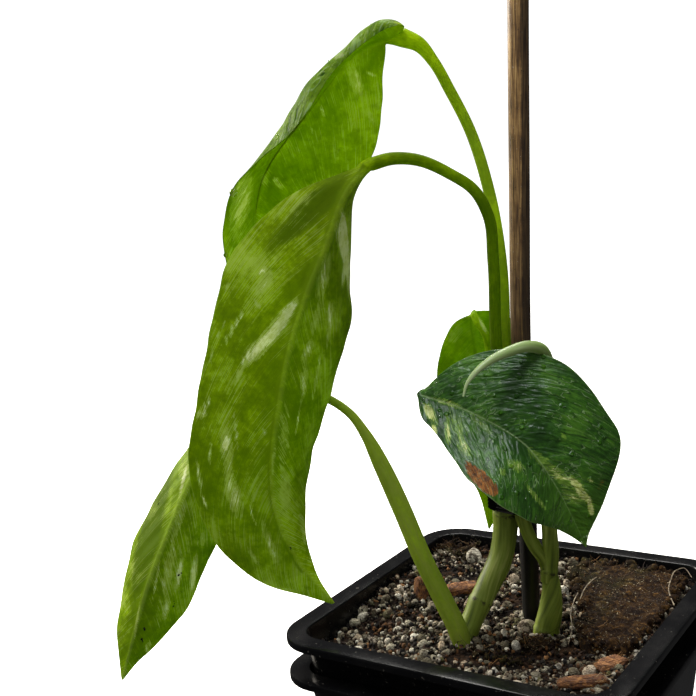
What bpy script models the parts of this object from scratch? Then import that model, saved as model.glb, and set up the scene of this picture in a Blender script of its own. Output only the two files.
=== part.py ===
"""A variegated monstera in two nested square nursery pots, strapped to a bamboo stake.

Sizes are millimetres and MM turns them into Blender's metres. The pots stand on z = 0 with
the origin under their middle, and +X runs along their front side. The plant is described in
its own frame: right, away and up, as seen from the side it faces, from the middle of the rim.
"""
import math
import random

import bmesh
import bpy
import numpy as np
from mathutils import Matrix

MM = 0.001
GAP = 0.3

RIM_SIDE = 110.0
POT_HEIGHT = 110.0
BASE_SIDE = 72.0
WALL = 0.9
FLOOR = 1.2
LEDGE = 5.5
LIP = 2.4
FLANGE = 1.1
RIM_CORNER = 14.0
BASE_CORNER = 5.0
NEST_LIFT = 12.0
LUGS = ((-22.0, -17.5), (-15.0, 1.0), (3.5, 8.0))
LUG_REACH = 52.3
DRAIN_SPOT = 20.0
DRAIN_RADIUS = 4.0
RIM_Z = POT_HEIGHT + NEST_LIFT
WALL_TOP = RIM_SIDE / 2 - LEDGE
WALL_SLOPE = (WALL_TOP - BASE_SIDE / 2) / POT_HEIGHT

PLANT_TURN = math.radians(34)
BLADE_THICK = 0.7
STATIONS = (0, 0.04, 0.12, 0.25, 0.4, 0.55, 0.7, 0.85, 0.95, 1)
SIDES = 9
HALF_COLUMNS = 4

random.seed(11)


def clear_scene():
    for thing in list(bpy.data.objects):
        bpy.data.objects.remove(thing, do_unlink=True)


def material(name, colour, roughness):
    """A Principled material from an sRGB colour."""
    mat = bpy.data.materials.new(name)
    mat.use_nodes = True
    shader = mat.node_tree.nodes["Principled BSDF"]
    linear = [((c / 255 + 0.055) / 1.055) ** 2.4 for c in colour]
    shader.inputs["Base Color"].default_value = (*linear, 1)
    shader.inputs["Roughness"].default_value = roughness
    shader.inputs["Metallic"].default_value = 0
    return mat


def solid(name, points, faces, mat=None, smooth=40):
    """A closed mesh object from points in millimetres."""
    mesh = bpy.data.meshes.new(name)
    mesh.from_pydata([tuple(float(v) * MM for v in p) for p in points], [], faces)
    work = bmesh.new()
    work.from_mesh(mesh)
    bmesh.ops.recalc_face_normals(work, faces=work.faces)
    if work.calc_volume(signed=True) < 0:
        bmesh.ops.reverse_faces(work, faces=work.faces)
    work.to_mesh(mesh)
    work.free()
    thing = bpy.data.objects.new(name, mesh)
    bpy.context.scene.collection.objects.link(thing)
    if mat:
        mesh.materials.append(mat)
    mesh.shade_smooth()
    mesh.set_sharp_from_angle(angle=math.radians(smooth))
    return thing


def stack(rings, caps=(True, True)):
    """Points and faces of rings of equal count joined one to the next, closed at both ends."""
    count = len(rings[0])
    points = [p for ring in rings for p in ring]
    faces = []
    for row in range(len(rings) - 1):
        for i in range(count):
            j = (i + 1) % count
            a, b = row * count, (row + 1) * count
            faces.append((a + i, a + j, b + j, b + i))
    if caps[0]:
        faces.append(tuple(range(count - 1, -1, -1)))
    if caps[1]:
        faces.append(tuple(range(len(points) - count, len(points))))
    return points, faces


def boolean(target, tools, operation):
    """Joins or cuts the target with a list of tools, which are then removed."""
    group = bpy.data.collections.new("tools")
    bpy.context.scene.collection.children.link(group)
    for tool in tools:
        group.objects.link(tool)
    cut = target.modifiers.new("join", "BOOLEAN")
    cut.operand_type = "COLLECTION"
    cut.collection = group
    cut.operation = operation
    cut.solver = "EXACT"
    graph = bpy.context.evaluated_depsgraph_get()
    mesh = bpy.data.meshes.new_from_object(target.evaluated_get(graph))
    target.modifiers.remove(cut)
    target.data = mesh
    for tool in tools:
        bpy.data.objects.remove(tool, do_unlink=True)
    bpy.data.collections.remove(group)


def keep_largest(target):
    """Drops loose scraps that a cut leaves beside the main body."""
    work = bmesh.new()
    work.from_mesh(target.data)
    left = set(work.verts)
    islands = []
    while left:
        front = [left.pop()]
        island = set(front)
        while front:
            vert = front.pop()
            for edge in vert.link_edges:
                other = edge.other_vert(vert)
                if other in left:
                    left.remove(other)
                    island.add(other)
                    front.append(other)
        islands.append(island)
    islands.sort(key=len)
    for island in islands[:-1]:
        bmesh.ops.delete(work, geom=list(island), context="VERTS")
    work.to_mesh(target.data)
    work.free()


def place(points):
    """Plant positions (right, away, up from the rim) as world millimetres."""
    points = np.atleast_2d(np.asarray(points, float))
    c, s = math.cos(PLANT_TURN), math.sin(PLANT_TURN)
    right, away, up = points.T
    return np.stack([right * c - away * s, right * s + away * c, up + RIM_Z], axis=1)


def blend(knots, values, at):
    """A smooth curve through values at knots, read at the places in at."""
    knots = np.asarray(knots, float)
    values = np.asarray(values, float)
    slopes = np.gradient(values, knots, axis=0)
    at = np.atleast_1d(at)
    k = np.clip(np.searchsorted(knots, at, side="right") - 1, 0, len(knots) - 2)
    span = knots[k + 1] - knots[k]
    t = (at - knots[k]) / span
    if values.ndim > 1:
        t, span = t[:, None], span[:, None]
    return (
        (2 * t**3 - 3 * t**2 + 1) * values[k]
        + (t**3 - 2 * t**2 + t) * span * slopes[k]
        + (3 * t**2 - 2 * t**3) * values[k + 1]
        + (t**3 - t**2) * span * slopes[k + 1]
    )


def along(points, places):
    """Points of a smooth route at fractions of its length."""
    points = np.asarray(points, float)
    chord = np.concatenate([[0], np.cumsum(np.linalg.norm(np.diff(points, axis=0), axis=1))])
    fine = blend(chord, points, np.linspace(0, chord[-1], 400))
    length = np.concatenate([[0], np.cumsum(np.linalg.norm(np.diff(fine, axis=0), axis=1))])
    want = np.asarray(places) * length[-1]
    return np.stack([np.interp(want, length, fine[:, axis]) for axis in range(3)], axis=1)


def unit(vectors):
    return vectors / np.linalg.norm(vectors, axis=-1, keepdims=True)


def carried_frames(path, across):
    """Across and normal directions carried along a path without twist from its first point."""
    heading = unit(np.gradient(path, axis=0))
    frames = []
    for direction in heading:
        across = unit(across - direction * (across @ direction))
        frames.append((across, np.cross(direction, across)))
    return frames


def tube_rings(path, radii, across=(1.0, 0.0, 0.0), sides=SIDES):
    rings = []
    for centre, radius, (side, normal) in zip(path, radii, carried_frames(path, np.array(across))):
        turns = [2 * math.pi * i / sides for i in range(sides)]
        rings.append([centre - (side * math.cos(a) + normal * math.sin(a)) * radius for a in turns])
    return rings


def tube(name, route, radii, count, mat=None, sides=SIDES):
    """A closed tube in the plant's frame, its radii given at even steps of its length."""
    places = np.linspace(0, 1, count)
    widths = blend(np.linspace(0, 1, len(radii)), radii, places)
    rings = [place(ring) for ring in tube_rings(along(route, places), widths, sides=sides)]
    return solid(name, *stack(rings), mat)


# Pots


def rounded_square(half, corner, z, steps=6, between=0):
    """A ring of points round a square with rounded corners, with some between them if asked."""
    ring = []
    for quarter in range(4):
        for i in range(steps + 1):
            a = math.pi / 2 * (quarter + i / steps)
            cx = (half - corner) * (1, -1, -1, 1)[quarter]
            cy = (half - corner) * (1, 1, -1, -1)[quarter]
            ring.append((cx + corner * math.cos(a), cy + corner * math.sin(a), z))
        straight = half - corner
        for i in range(between):
            slide = straight * (1 - 2 * (i + 1) / (between + 1))
            ring.append(((slide, half), (-half, slide), (-slide, -half), (half, -slide))[quarter] + (z,))
    return ring


def wall_half(z):
    """Half the outer width of a pot's wall at a height over its own base."""
    return BASE_SIDE / 2 + WALL_SLOPE * z


def wall_corner(z):
    return BASE_CORNER + (RIM_CORNER - LEDGE - BASE_CORNER) * z / POT_HEIGHT


def lug(start, end, lift, turn):
    """A block under the rim, from the sloping wall outwards, turned onto one of the four sides."""
    rings = []
    for z in (POT_HEIGHT - NEST_LIFT + GAP, POT_HEIGHT - 0.5 * FLANGE):
        near = wall_half(z) - 0.5 * WALL
        corners = ((near, start), (LUG_REACH, start), (LUG_REACH, end), (near, end))
        rings.append([(x, y, z + lift) for x, y in corners])
    block = solid("lug", *stack(rings))
    block.data.transform(Matrix.Rotation(math.pi / 2 * turn, 4, "Z"))
    return block


def pot(name, lift, mat):
    """A square pot: tapered wall, flat rim ledge with a turned-down lip, stacking lugs, drain holes."""
    top = POT_HEIGHT
    under = top - FLANGE
    rim = RIM_SIDE / 2
    inner_top = wall_half(top) - WALL
    profile = [
        (wall_half(0) - 0.8, BASE_CORNER - 0.8, 0),
        (wall_half(0), BASE_CORNER, 0.8),
        (wall_half(under), wall_corner(under), under),
        (rim - 1.0, RIM_CORNER - 1.0, under),
        (rim - 1.0, RIM_CORNER - 1.0, top - LIP),
        (rim, RIM_CORNER, top - LIP),
        (rim, RIM_CORNER, top - 0.6),
        (rim - 0.5, RIM_CORNER - 0.5, top),
        (inner_top + 0.4, wall_corner(top) - WALL + 0.4, top),
        (inner_top, wall_corner(top) - WALL, top - 0.5),
        (wall_half(FLOOR) - WALL, BASE_CORNER - WALL, FLOOR),
    ]
    rings = [rounded_square(half, corner, z + lift) for half, corner, z in profile]
    thing = solid(name, *stack(rings), mat, smooth=30)
    boolean(thing, [lug(start, end, lift, turn) for start, end in LUGS for turn in range(4)], "UNION")
    holes = []
    turns = [2 * math.pi * i / 10 for i in range(10)]
    outline = [(DRAIN_RADIUS * math.cos(a), DRAIN_RADIUS * math.sin(a)) for a in turns]
    for x in (-DRAIN_SPOT, DRAIN_SPOT):
        for y in (-DRAIN_SPOT, DRAIN_SPOT):
            rings = [[(x + dx, y + dy, z + lift) for dx, dy in outline] for z in (-1, 3)]
            holes.append(solid("drain", *stack(rings)))
    boolean(thing, holes, "DIFFERENCE")
    return thing


# Growing mix

PLUG_OUTLINE = (
    (45.5, 14.0), (45.0, 31.0), (43.5, 41.0), (40.0, 45.0), (25.0, 46.5), (12.0, 46.0),
    (6.0, 37.0), (13.0, 22.0), (20.0, 12.0), (25.0, 1.0), (27.0, -10.0), (35.0, -15.0), (44.0, -13.0),
)
PLUG_TOP = -1.6
PLUG_UNDER = -13.0
PLUG_MEETS_WALL = 44.0
CHIPS = {
    "husk_chip_front": ((38.6, -35.6, -3.4), 34.0, (15.0, 5.0, 2.4)),
    "husk_chip_right": ((42.0, -23.0, -3.2), 62.0, (10.5, 6.5, 2.4)),
    "husk_chip_left": ((-33.0, 1.0, -3.2), -20.0, (4.5, 2.6, 8.0)),
    "husk_chip_back": ((-22.0, 12.0, -4.6), 40.0, (12.0, 6.0, 2.4)),
}
BIG_STONES = (
    (9.0, -5.5, 2.7), (-4.5, 7.0, 2.0), (-6.5, 2.5, 2.2), (-32.0, 39.0, 3.6), (-26.0, -4.5, 2.2),
    (37.5, -29.0, 2.4), (33.5, -30.5, 2.0), (0.0, 39.5, 2.4), (-11.0, 26.0, 2.6), (1.0, -1.0, 2.0),
)
SMALL_STONES = 64


def ground(x, y):
    """Height of the mix's surface below the rim: it banks up at the walls and dips near one corner."""
    bank = 2.4 * (max(abs(x), abs(y)) / 48) ** 4
    dip = 5.0 * math.exp(-((x + 46) ** 2 + (y + 32) ** 2) / 320)
    bumps = 0.5 * math.sin(0.37 * x + 1) * math.sin(0.31 * y) + 0.3 * math.sin(0.8 * x - 0.6 * y)
    heap = 2.4 * math.exp(-((x + 3) ** 2 + (y + 28) ** 2) / 160)
    return -6.4 + bank - dip + heap + bumps


def stone(x, y, radius):
    """One pumice grain, a lumpy twenty-sided pebble with its lower half in the mix."""
    work = bmesh.new()
    bmesh.ops.create_icosphere(work, subdivisions=1, radius=radius)
    spin = random.uniform(0, math.pi)
    squash = random.uniform(0.75, 1.0)
    points = []
    for vert in work.verts:
        swell = random.uniform(0.85, 1.1)
        px, py, pz = (c * swell for c in vert.co)
        rx, ry = px * math.cos(spin) - py * math.sin(spin), px * math.sin(spin) + py * math.cos(spin)
        points.append((x + rx, y + ry, ground(x, y) + 0.35 * radius + pz * squash + RIM_Z))
    faces = [tuple(v.index for v in face.verts) for face in work.faces]
    work.free()
    return solid("stone", points, faces)


def plug_rings(grow):
    """The coir plug's outline at its levels; grow swells it into the recess that holds it."""
    outline = np.array(PLUG_OUTLINE)
    middle = outline.mean(axis=0)
    levels = (
        (0.9, PLUG_UNDER), (0.97, -8.0), (1.0, -4.6),
        (0.95, -2.6), (0.78, PLUG_TOP), (0.45, PLUG_TOP + 0.5),
    )
    rings = []
    for scale, z in levels:
        wobble = 0.5 if scale < 0.96 and z > -5 else 0.0
        flat = middle + (outline - middle) * scale
        lift = [wobble * math.sin(0.5 * p[0]) * math.cos(0.45 * p[1]) for p in flat]
        rings.append([(p[0], p[1], z + h + RIM_Z) for p, h in zip(flat, lift)])
    if grow:
        bigger = middle + (outline - middle) * 1.025 + unit(outline - middle) * GAP
        bigger = np.where(bigger > PLUG_MEETS_WALL, RIM_SIDE / 2, bigger)
        rings = [[(p[0], p[1], z + RIM_Z) for p in bigger] for z in (PLUG_UNDER - GAP, 6.0)]
    return rings


def chip(name, spot, turn, size, grow=0.0, mat=None):
    """A wedge of coconut husk lying in its own socket in the mix."""
    c, s = math.cos(math.radians(turn)), math.sin(math.radians(turn))
    half = [v / 2 + grow for v in size]
    rings = []
    for level, shrink in ((-1, 0.88), (0.2, 1.0), (1, 0.8)):
        ring = []
        for a, b in ((-1, -0.7), (0.1, -1), (1, -0.5), (0.85, 0.8), (-0.2, 1), (-0.9, 0.6)):
            x = a * half[0] * (shrink if not grow else 1.02)
            y = b * half[1] * (shrink if not grow else 1.04)
            ring.append((spot[0] + x * c - y * s, spot[1] + x * s + y * c, spot[2] + level * half[2] + RIM_Z))
        rings.append(ring)
    return solid(name, *stack(rings), mat, smooth=30)


def mix(cutters, mat):
    """Bark and coir mix filling the inner pot, with pumice grains grown into its surface."""
    floor = FLOOR + GAP
    rings = []
    for z in (floor, POT_HEIGHT * 0.5):
        half, corner = wall_half(z) - WALL - GAP, wall_corner(z) - WALL - GAP
        rings.append(rounded_square(half, corner, z + NEST_LIFT, steps=2, between=4))
    brim = wall_half(POT_HEIGHT - 7) - WALL - GAP
    corner = wall_corner(POT_HEIGHT) - WALL - GAP
    for scale in (1.0, 0.93, 0.84, 0.73, 0.6, 0.46, 0.31, 0.15):
        ring = rounded_square(brim * scale, corner * scale, 0, steps=2, between=4)
        rings.append([(x, y, ground(x, y) + RIM_Z) for x, y, _ in ring])
    thing = solid("growing_mix", *stack(rings), mat, smooth=30)
    stones = [stone(x, y, r) for x, y, r in BIG_STONES]
    while len(stones) < len(BIG_STONES) + SMALL_STONES:
        x, y = random.uniform(-45, 45), random.uniform(-45, 45)
        radius = random.uniform(1.2, 2.2)
        if max(abs(x), abs(y)) < 46.5 - radius and abs(x) + abs(y) < 84:
            stones.append(stone(x, y, radius))
    boolean(thing, stones, "UNION")
    boolean(thing, cutters, "DIFFERENCE")
    keep_largest(thing)
    return thing


# Stake, canes and strap. Routes are (right, away, up from the rim).

STAKE_ROUTE = (
    (5.4, -1, -95), (6.6, -1, -6), (7.1, -1, 25), (8.1, -1, 85),
    (10.2, -1, 135), (12.4, -1, 184), (14.9, -1, 232),
)
STAKE_RADII = (2.4, 2.6, 2.8, 3.0, 3.1, 3.1, 3.1)
CANE_LEFT_ROUTE = (
    (-17, -14, -25), (-16.5, -14, -14), (-15.2, -14, -6), (-11.6, -12, 1.5), (-7.0, -9.5, 9),
    (-3.1, -6.8, 16.3), (-0.9, -4.8, 23.6), (0.0, -4.0, 30), (0.4, -4.0, 37), (0.8, -4.0, 46),
)
CANE_LEFT_RADII = (2.6, 3.7, 3.5, 3.3, 3.5, 3.8, 3.8, 3.9, 3.8, 3.7)
CANE_RIGHT_ROUTE = (
    (8, -14, -25), (8.3, -14, -8), (11.0, -13, 2.5), (11.6, -12, 9), (10.4, -11, 16),
    (7.2, -10.4, 21.5), (5.0, -9.8, 27), (3.8, -9.7, 32), (3.5, -9.7, 38), (3.5, -9.7, 46),
)
CANE_RIGHT_RADII = (2.8, 3.2, 3.6, 3.7, 3.0, 2.2, 2.1, 2.1, 2.1, 2.1)
CANE_FORK_ROUTE = (
    (10.8, -11.8, 10), (12.0, -11.2, 19), (12.0, -11, 25), (11.8, -10.6, 32), (12.0, -10.2, 46),
)
CANE_FORK_RADII = (2.4, 2.5, 2.3, 2.2, 2.1)
STRAP_LOW, STRAP_HIGH = 30.3, 42.3
STRAP_THICK = 1.2


def strap(mat):
    """Hook-and-loop plant tie: one band pulled round both canes and the stake."""
    level = (STRAP_LOW + STRAP_HIGH) / 2
    held = ((0.35, -4.0, 3.85), (3.6, -9.7, 2.1), (7.2, -1.0, 2.9))

    def loop(out, up):
        ring = []
        for i in range(36):
            a = 2 * math.pi * i / 36
            facing = (math.cos(a), math.sin(a))
            right, away, radius = max(held, key=lambda h: h[0] * facing[0] + h[1] * facing[1] + h[2])
            reach = radius + out
            ring.append((right + facing[0] * reach, away + facing[1] * reach, up))
        return place(ring)

    slack = GAP + 0.3
    half = (STRAP_HIGH - STRAP_LOW) / 2
    corners = ((slack, -half), (slack + STRAP_THICK, -half), (slack + STRAP_THICK, half), (slack, half))
    rings = [loop(out, level + up) for out, up in corners]
    points, faces = stack(rings + [rings[0]], caps=(False, False))
    count = len(rings[0])
    ends = len(points) - count
    faces = [tuple(i - ends if i >= ends else i for i in face) for face in faces]
    return solid("strap", points[:ends], faces, mat)


def cane_right(mat):
    """The right cane forks low down: one arm goes under the strap, one carries the new leaf."""
    trunk = tube("cane_right", CANE_RIGHT_ROUTE, CANE_RIGHT_RADII, 26, mat)
    boolean(trunk, [tube("fork", CANE_FORK_ROUTE, CANE_FORK_RADII, 10)], "UNION")
    return trunk


# Leaves. A leaf is one body: a round stalk that flattens into the blade at the knee.
# spine is the blade's midrib; left and right are half-widths at STATIONS, left being the
# viewer's left on a blade that hangs down. A lean turns a half away from the viewer, in
# degrees from flat, at the six LEAN_PLACES, and a curl bends it further out to its edge.
# keel_faces is -1 where the underside, with its ridge, is turned to the viewer.

LEAN_PLACES = (0, 0.15, 0.4, 0.55, 0.7, 1)

LEAVES = {
    "leaf_top": dict(
        stalk=((2.2, -2.6, 46.4), (2.4, 0.4, 64), (3.1, 3, 83), (3.4, 6, 108), (1.4, 8, 129), (-2.9, 10, 149),
               (-7.4, 11, 161), (-12.6, 11.6, 170.5), (-18.5, 12, 176.4), (-25.0, 12.5, 178.8)),
        stalk_radii=(1.6, 1.7, 1.7, 1.65, 1.65, 1.8, 2.4),
        spine=((-27.2, 13, 178.9), (-37, 15, 176), (-47, 17, 167.2), (-57, 19, 157), (-64.2, 21, 148.2),
               (-69, 23, 140), (-71.4, 25, 131), (-72.4, 26, 118.6), (-71.6, 26, 102), (-67.8, 25.5, 85)),
        left=(1.8, 9, 15, 19, 21, 21, 19, 12, 4, 0),
        right=(1.8, 9.5, 18, 27, 32.5, 32, 27, 16, 5.5, 0),
        left_lean=(-75, -108, -93, -71, -64, -50), left_curl=0,
        right_lean=(20, 5, 0, 5, 10, 20), right_curl=18,
        left_lobe=4, right_lobe=1.5, keel=1.5, keel_faces=-1,
    ),
    "leaf_long": dict(
        stalk=((0.6, -6.3, 46.4), (0.4, -4.8, 66), (0.0, -3, 85), (0.5, -3, 109), (-0.3, -3, 122.7),
               (-4, -3, 130.3), (-10.8, -3, 135.6), (-20.9, -4, 140.6), (-27.6, -5, 141.4), (-34.3, -6.6, 140.2)),
        stalk_radii=(1.6, 1.8, 1.8, 1.75, 1.7, 1.7, 2.0),
        spine=((-36, -7.2, 139.4), (-41, -9.5, 134), (-49, -13, 118), (-56, -15.5, 104), (-61.6, -17, 90),
               (-66.5, -18, 72), (-70, -17.6, 54), (-70, -16, 40), (-65, -14, 24), (-56, -12, 9)),
        left=(1.8, 6.0, 16.4, 25.2, 24.4, 25.2, 25.5, 19, 6, 0),
        right=(1.8, 10, 15.5, 21.5, 23.6, 21.6, 17.8, 8, 1.6, 0),
        left_lean=(10, 5, 5, 5, 5, 10), left_curl=20,
        right_lean=(56, 46, 17, 24, 30, 24), right_curl=48,
        left_lobe=1, right_lobe=1, keel=1.5, keel_faces=-1,
    ),
    "leaf_low": dict(
        stalk=((-18.8, -21.2, -9), (-20, -20, 0), (-23, -18, 8.2), (-28, -14, 22), (-33, -9, 36.3),
               (-38, -4, 49), (-41.9, -1, 58), (-45.9, 2, 64), (-52, 5, 68.8), (-61, 8, 72), (-72, 9, 72.5),
               (-80, 9, 69.5)),
        stalk_radii=(2.7, 3.0, 2.8, 2.6, 2.4, 1.5, 1.4, 1.5),
        spine=((-81.5, 9, 68), (-90, 8, 57.5), (-98.3, 6, 44.4), (-107.3, 4, 27.6), (-113.6, 3, 15),
               (-121.5, 3, -5), (-128, 4, -22)),
        left=(1.6, 7, 11.5, 13.5, 15.5, 16.5, 14, 9, 3, 0),
        right=(1.6, 9, 14, 17, 17.5, 15.5, 12.5, 5.5, 1.6, 0),
        left_lean=(60, 58, 50, 48, 46, 30), left_curl=22,
        right_lean=(10, 5, 5, 8, 10, 10), right_curl=20,
        left_lobe=1, right_lobe=1, keel=1.3, keel_faces=-1,
    ),
    "leaf_front": dict(
        stalk=((3.5, -9.6, 46.4), (1.5, -12, 56), (-6, -14, 66), (-16, -16, 72.5), (-23.4, -17.5, 74)),
        stalk_radii=(1.5, 1.5, 1.4, 1.5),
        spine=((-24.7, -18.6, 73.3), (-15.6, -24, 70.5), (-7.5, -29, 66.9), (2.6, -34, 59.8),
               (9.6, -36, 48.8), (14.5, -35.5, 38), (18.4, -33, 28.2)),
        left=(1.5, 5.5, 9.6, 14.5, 18.4, 19.4, 17.2, 9.5, 3, 0),
        right=(1.5, 5, 12.8, 19.8, 23.2, 24.6, 23.0, 10.4, 2.6, 0),
        left_lean=(-40, -45, -45, -45, -42, -20), left_curl=12,
        right_lean=(10, 8, 6, 6, 8, 10), right_curl=16,
        left_lobe=0.6, right_lobe=0.6, keel=1.1, keel_faces=1,
    ),
    "leaf_back": dict(
        stalk=((-1.1, -1.9, 46.4), (-1.0, 2.4, 64), (-1.1, 3.8, 77), (-2.4, 4.2, 86), (-4.4, 4.8, 89.6),
               (-5.2, 6.4, 91.5)),
        stalk_radii=(1.0, 1.2, 1.2, 1.2),
        spine=((-5.2, 9.0, 91.6), (-4.4, 11.6, 86), (-3.2, 14, 76), (-1.1, 18, 58), (-0.7, 18, 41),
               (-2.1, 16, 28), (-3.6, 14, 18.7)),
        left=(1.5, 6, 10.5, 15, 17, 16, 11, 4, 1.2, 0),
        right=(1.5, 8.5, 16.5, 21.5, 21.5, 19, 13.5, 6, 2, 0),
        left_lean=(20, 15, 15, 15, 15, 10), left_curl=15,
        right_lean=(10, 5, 5, 8, 10, 10), right_curl=10,
        left_lobe=1.5, right_lobe=4, keel=1.0, keel_faces=-1,
    ),
}
BLADE_ROWS = 18
STALK_RINGS = 24
NARROWEST = 0.5
KNEE_LENGTH = 2.8


def half_section(width, lean, curl, s):
    """Offset across and away of a point at fraction s of a half-blade that leans and curls."""
    start, turn = math.radians(lean), math.radians(curl)
    if abs(turn) < 1e-3:
        return width * s * math.cos(start), width * s * math.sin(start)
    reach_across = (math.sin(start + turn * s) - math.sin(start)) / turn
    reach_away = (math.cos(start) - math.cos(start + turn * s)) / turn
    return width * reach_across, width * reach_away


def blade_rows(leaf):
    """Grid of edge-to-edge points of a blade, row by row from knee to tip, and the rows' places."""
    steps = np.linspace(0, 1, BLADE_ROWS + 1)
    places = (steps**1.5 + (1 - np.cos(math.pi * steps)) / 2) / 2
    spine = along(leaf["spine"], places)
    heading = unit(np.gradient(spine, axis=0))
    away = np.array([0.0, 1.0, 0.0])
    left = np.maximum(blend(STATIONS, leaf["left"], places), NARROWEST)
    right = np.maximum(blend(STATIONS, leaf["right"], places), NARROWEST)
    left_lean = blend(LEAN_PLACES, leaf["left_lean"], places)
    right_lean = blend(LEAN_PLACES, leaf["right_lean"], places)
    rows = []
    for k, place_k in enumerate(places):
        across = unit(np.cross(heading[k], away))
        depth = np.cross(across, heading[k])
        fade = math.exp(-place_k / 0.05)
        row = []
        for column in range(-HALF_COLUMNS, HALF_COLUMNS + 1):
            s = abs(column) / HALF_COLUMNS
            if column < 0:
                out, deep = half_section(left[k], left_lean[k], leaf["left_curl"], s)
                out = -out
                lobe = leaf["left_lobe"]
            else:
                out, deep = half_section(right[k], right_lean[k], leaf["right_curl"], s)
                lobe = leaf["right_lobe"]
            row.append(spine[k] + across * out + depth * deep - heading[k] * lobe * fade * s**2)
        rows.append(row)
    return np.array(rows), places


def grid_normals(rows):
    down = np.gradient(rows, axis=0)
    over = np.gradient(rows, axis=1)
    return unit(np.cross(over, down))


def least_twist(rings, target):
    """Renumbers a tube's rings so that the first one meets the target ring with least twist."""
    def order(shift, way):
        return [(way * i + shift) % SIDES for i in range(SIDES)]

    def twist(choice):
        return sum(np.linalg.norm(rings[0][j] - target[i]) for i, j in enumerate(order(*choice)))

    best = min(((shift, way) for shift in range(SIDES) for way in (1, -1)), key=twist)
    return [[ring[j] for j in order(*best)] for ring in rings]


def leaf_body(name, leaf, mat):
    """Stalk and blade lofted as one closed body; both faces of the blade are split alike."""
    rows, places = blade_rows(leaf)
    rows, tip = rows[:-1], rows[-1, HALF_COLUMNS]
    normals = grid_normals(rows) * leaf["keel_faces"]
    columns = 2 * HALF_COLUMNS + 1
    midrib = np.arange(columns) == HALF_COLUMNS
    turns = np.linspace(0.06, 0.94, columns)[:, None] * math.pi
    points = []
    for k, row in enumerate(rows):
        roundness = math.exp(-places[k] / 0.03)
        keel = leaf["keel"] * (1 - places[k]) * midrib
        front = row + normals[k] * (BLADE_THICK / 2 + keel)[:, None]
        rear = row - normals[k] * BLADE_THICK / 2
        axis, facing = row[HALF_COLUMNS], normals[k, HALF_COLUMNS]
        across = unit(np.cross(np.cross(facing, row[-1] - row[0]), facing))
        knee = leaf["stalk_radii"][-1]
        beside, above = axis - knee * np.cos(turns) * across, knee * np.sin(turns) * facing
        front += (beside + above - front) * roundness
        rear += (beside - above - rear) * roundness
        points += list(front) + list(rear[::-1])
    ring = 2 * columns
    faces = []
    for k in range(len(rows) - 1):
        for j in range(columns - 1):
            a, b = k * ring + j, (k + 1) * ring + j
            faces += [(a, a + 1, b + 1), (a, b + 1, b)]
            a, b = k * ring + ring - 1 - j, (k + 1) * ring + ring - 1 - j
            faces += [(a, b - 1, a - 1), (a, b, b - 1)]
        for edge in (columns - 1, ring - 1):
            nxt = k * ring + (edge + 1) % ring
            faces.append((k * ring + edge, nxt, nxt + ring, k * ring + edge + ring))
    last = (len(rows) - 1) * ring
    tip_front = len(points)
    half_tip = normals[-1, HALF_COLUMNS] * BLADE_THICK / 2
    points += [tip + half_tip, tip - half_tip]
    for j in range(columns - 1):
        faces.append((last + j, last + j + 1, tip_front))
        faces.append((last + ring - 1 - j, tip_front + 1, last + ring - 2 - j))
    faces.append((last + columns - 1, last + columns, tip_front + 1, tip_front))
    faces.append((last + ring - 1, last, tip_front, tip_front + 1))

    across = unit(rows[0, -1] - rows[0, 0])
    route = along(leaf["stalk"][::-1], np.linspace(0, 1, 201))
    clear = np.argmax(np.linalg.norm(route - rows[0, HALF_COLUMNS], axis=1) > KNEE_LENGTH)
    places = np.linspace(clear / 200, 1, STALK_RINGS)
    radii = blend(np.linspace(0, 1, len(leaf["stalk_radii"])), leaf["stalk_radii"][::-1], places)
    rings = tube_rings(along(leaf["stalk"][::-1], places), radii, across=across)
    rings = least_twist(rings, points[:ring:2])
    first = len(points)
    for one in rings:
        points += one
    for k in range(STALK_RINGS - 1):
        for i in range(SIDES):
            j = (i + 1) % SIDES
            a, b = first + k * SIDES, first + (k + 1) * SIDES
            faces.append((a + i, b + i, b + j, a + j))
    for i in range(SIDES):
        j = (i + 1) % SIDES
        two = 2 * i
        faces.append((first + i, two, two + 1))
        faces.append((first + i, two + 1, (two + 2) % ring))
        faces.append((first + i, (two + 2) % ring, first + j))
    faces.append(tuple(range(len(points) - SIDES, len(points))))
    return solid(name, place(points), faces, mat, smooth=60)


NEW_LEAF_ROUTE = (
    (12.0, -10.2, 46.4), (12.8, -12.5, 60), (13.3, -17, 73), (13.2, -20, 79.5), (10.3, -24, 84.8),
    (5.2, -28, 86.8), (-0.9, -32, 86.4), (-6.6, -35, 84.8), (-10.5, -37, 82.6),
    (-13.3, -38, 79.6), (-14.5, -38.5, 76.4),
)
NEW_LEAF_RADII = (1.7, 1.7, 1.8, 2.0, 1.9, 1.7, 1.4, 0.9, 0.25)


def hole(route, radii, count, sides=SIDES):
    """Cutter for the plain hole in which a stem or the stake stands, a gap wider and deeper than it."""
    right, away, up = route[0]
    route = ((right, away, up - GAP),) + tuple(route[1:])
    return tube("hole", route, [radius + GAP + 0.1 for radius in radii], count, sides=sides)


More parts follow.
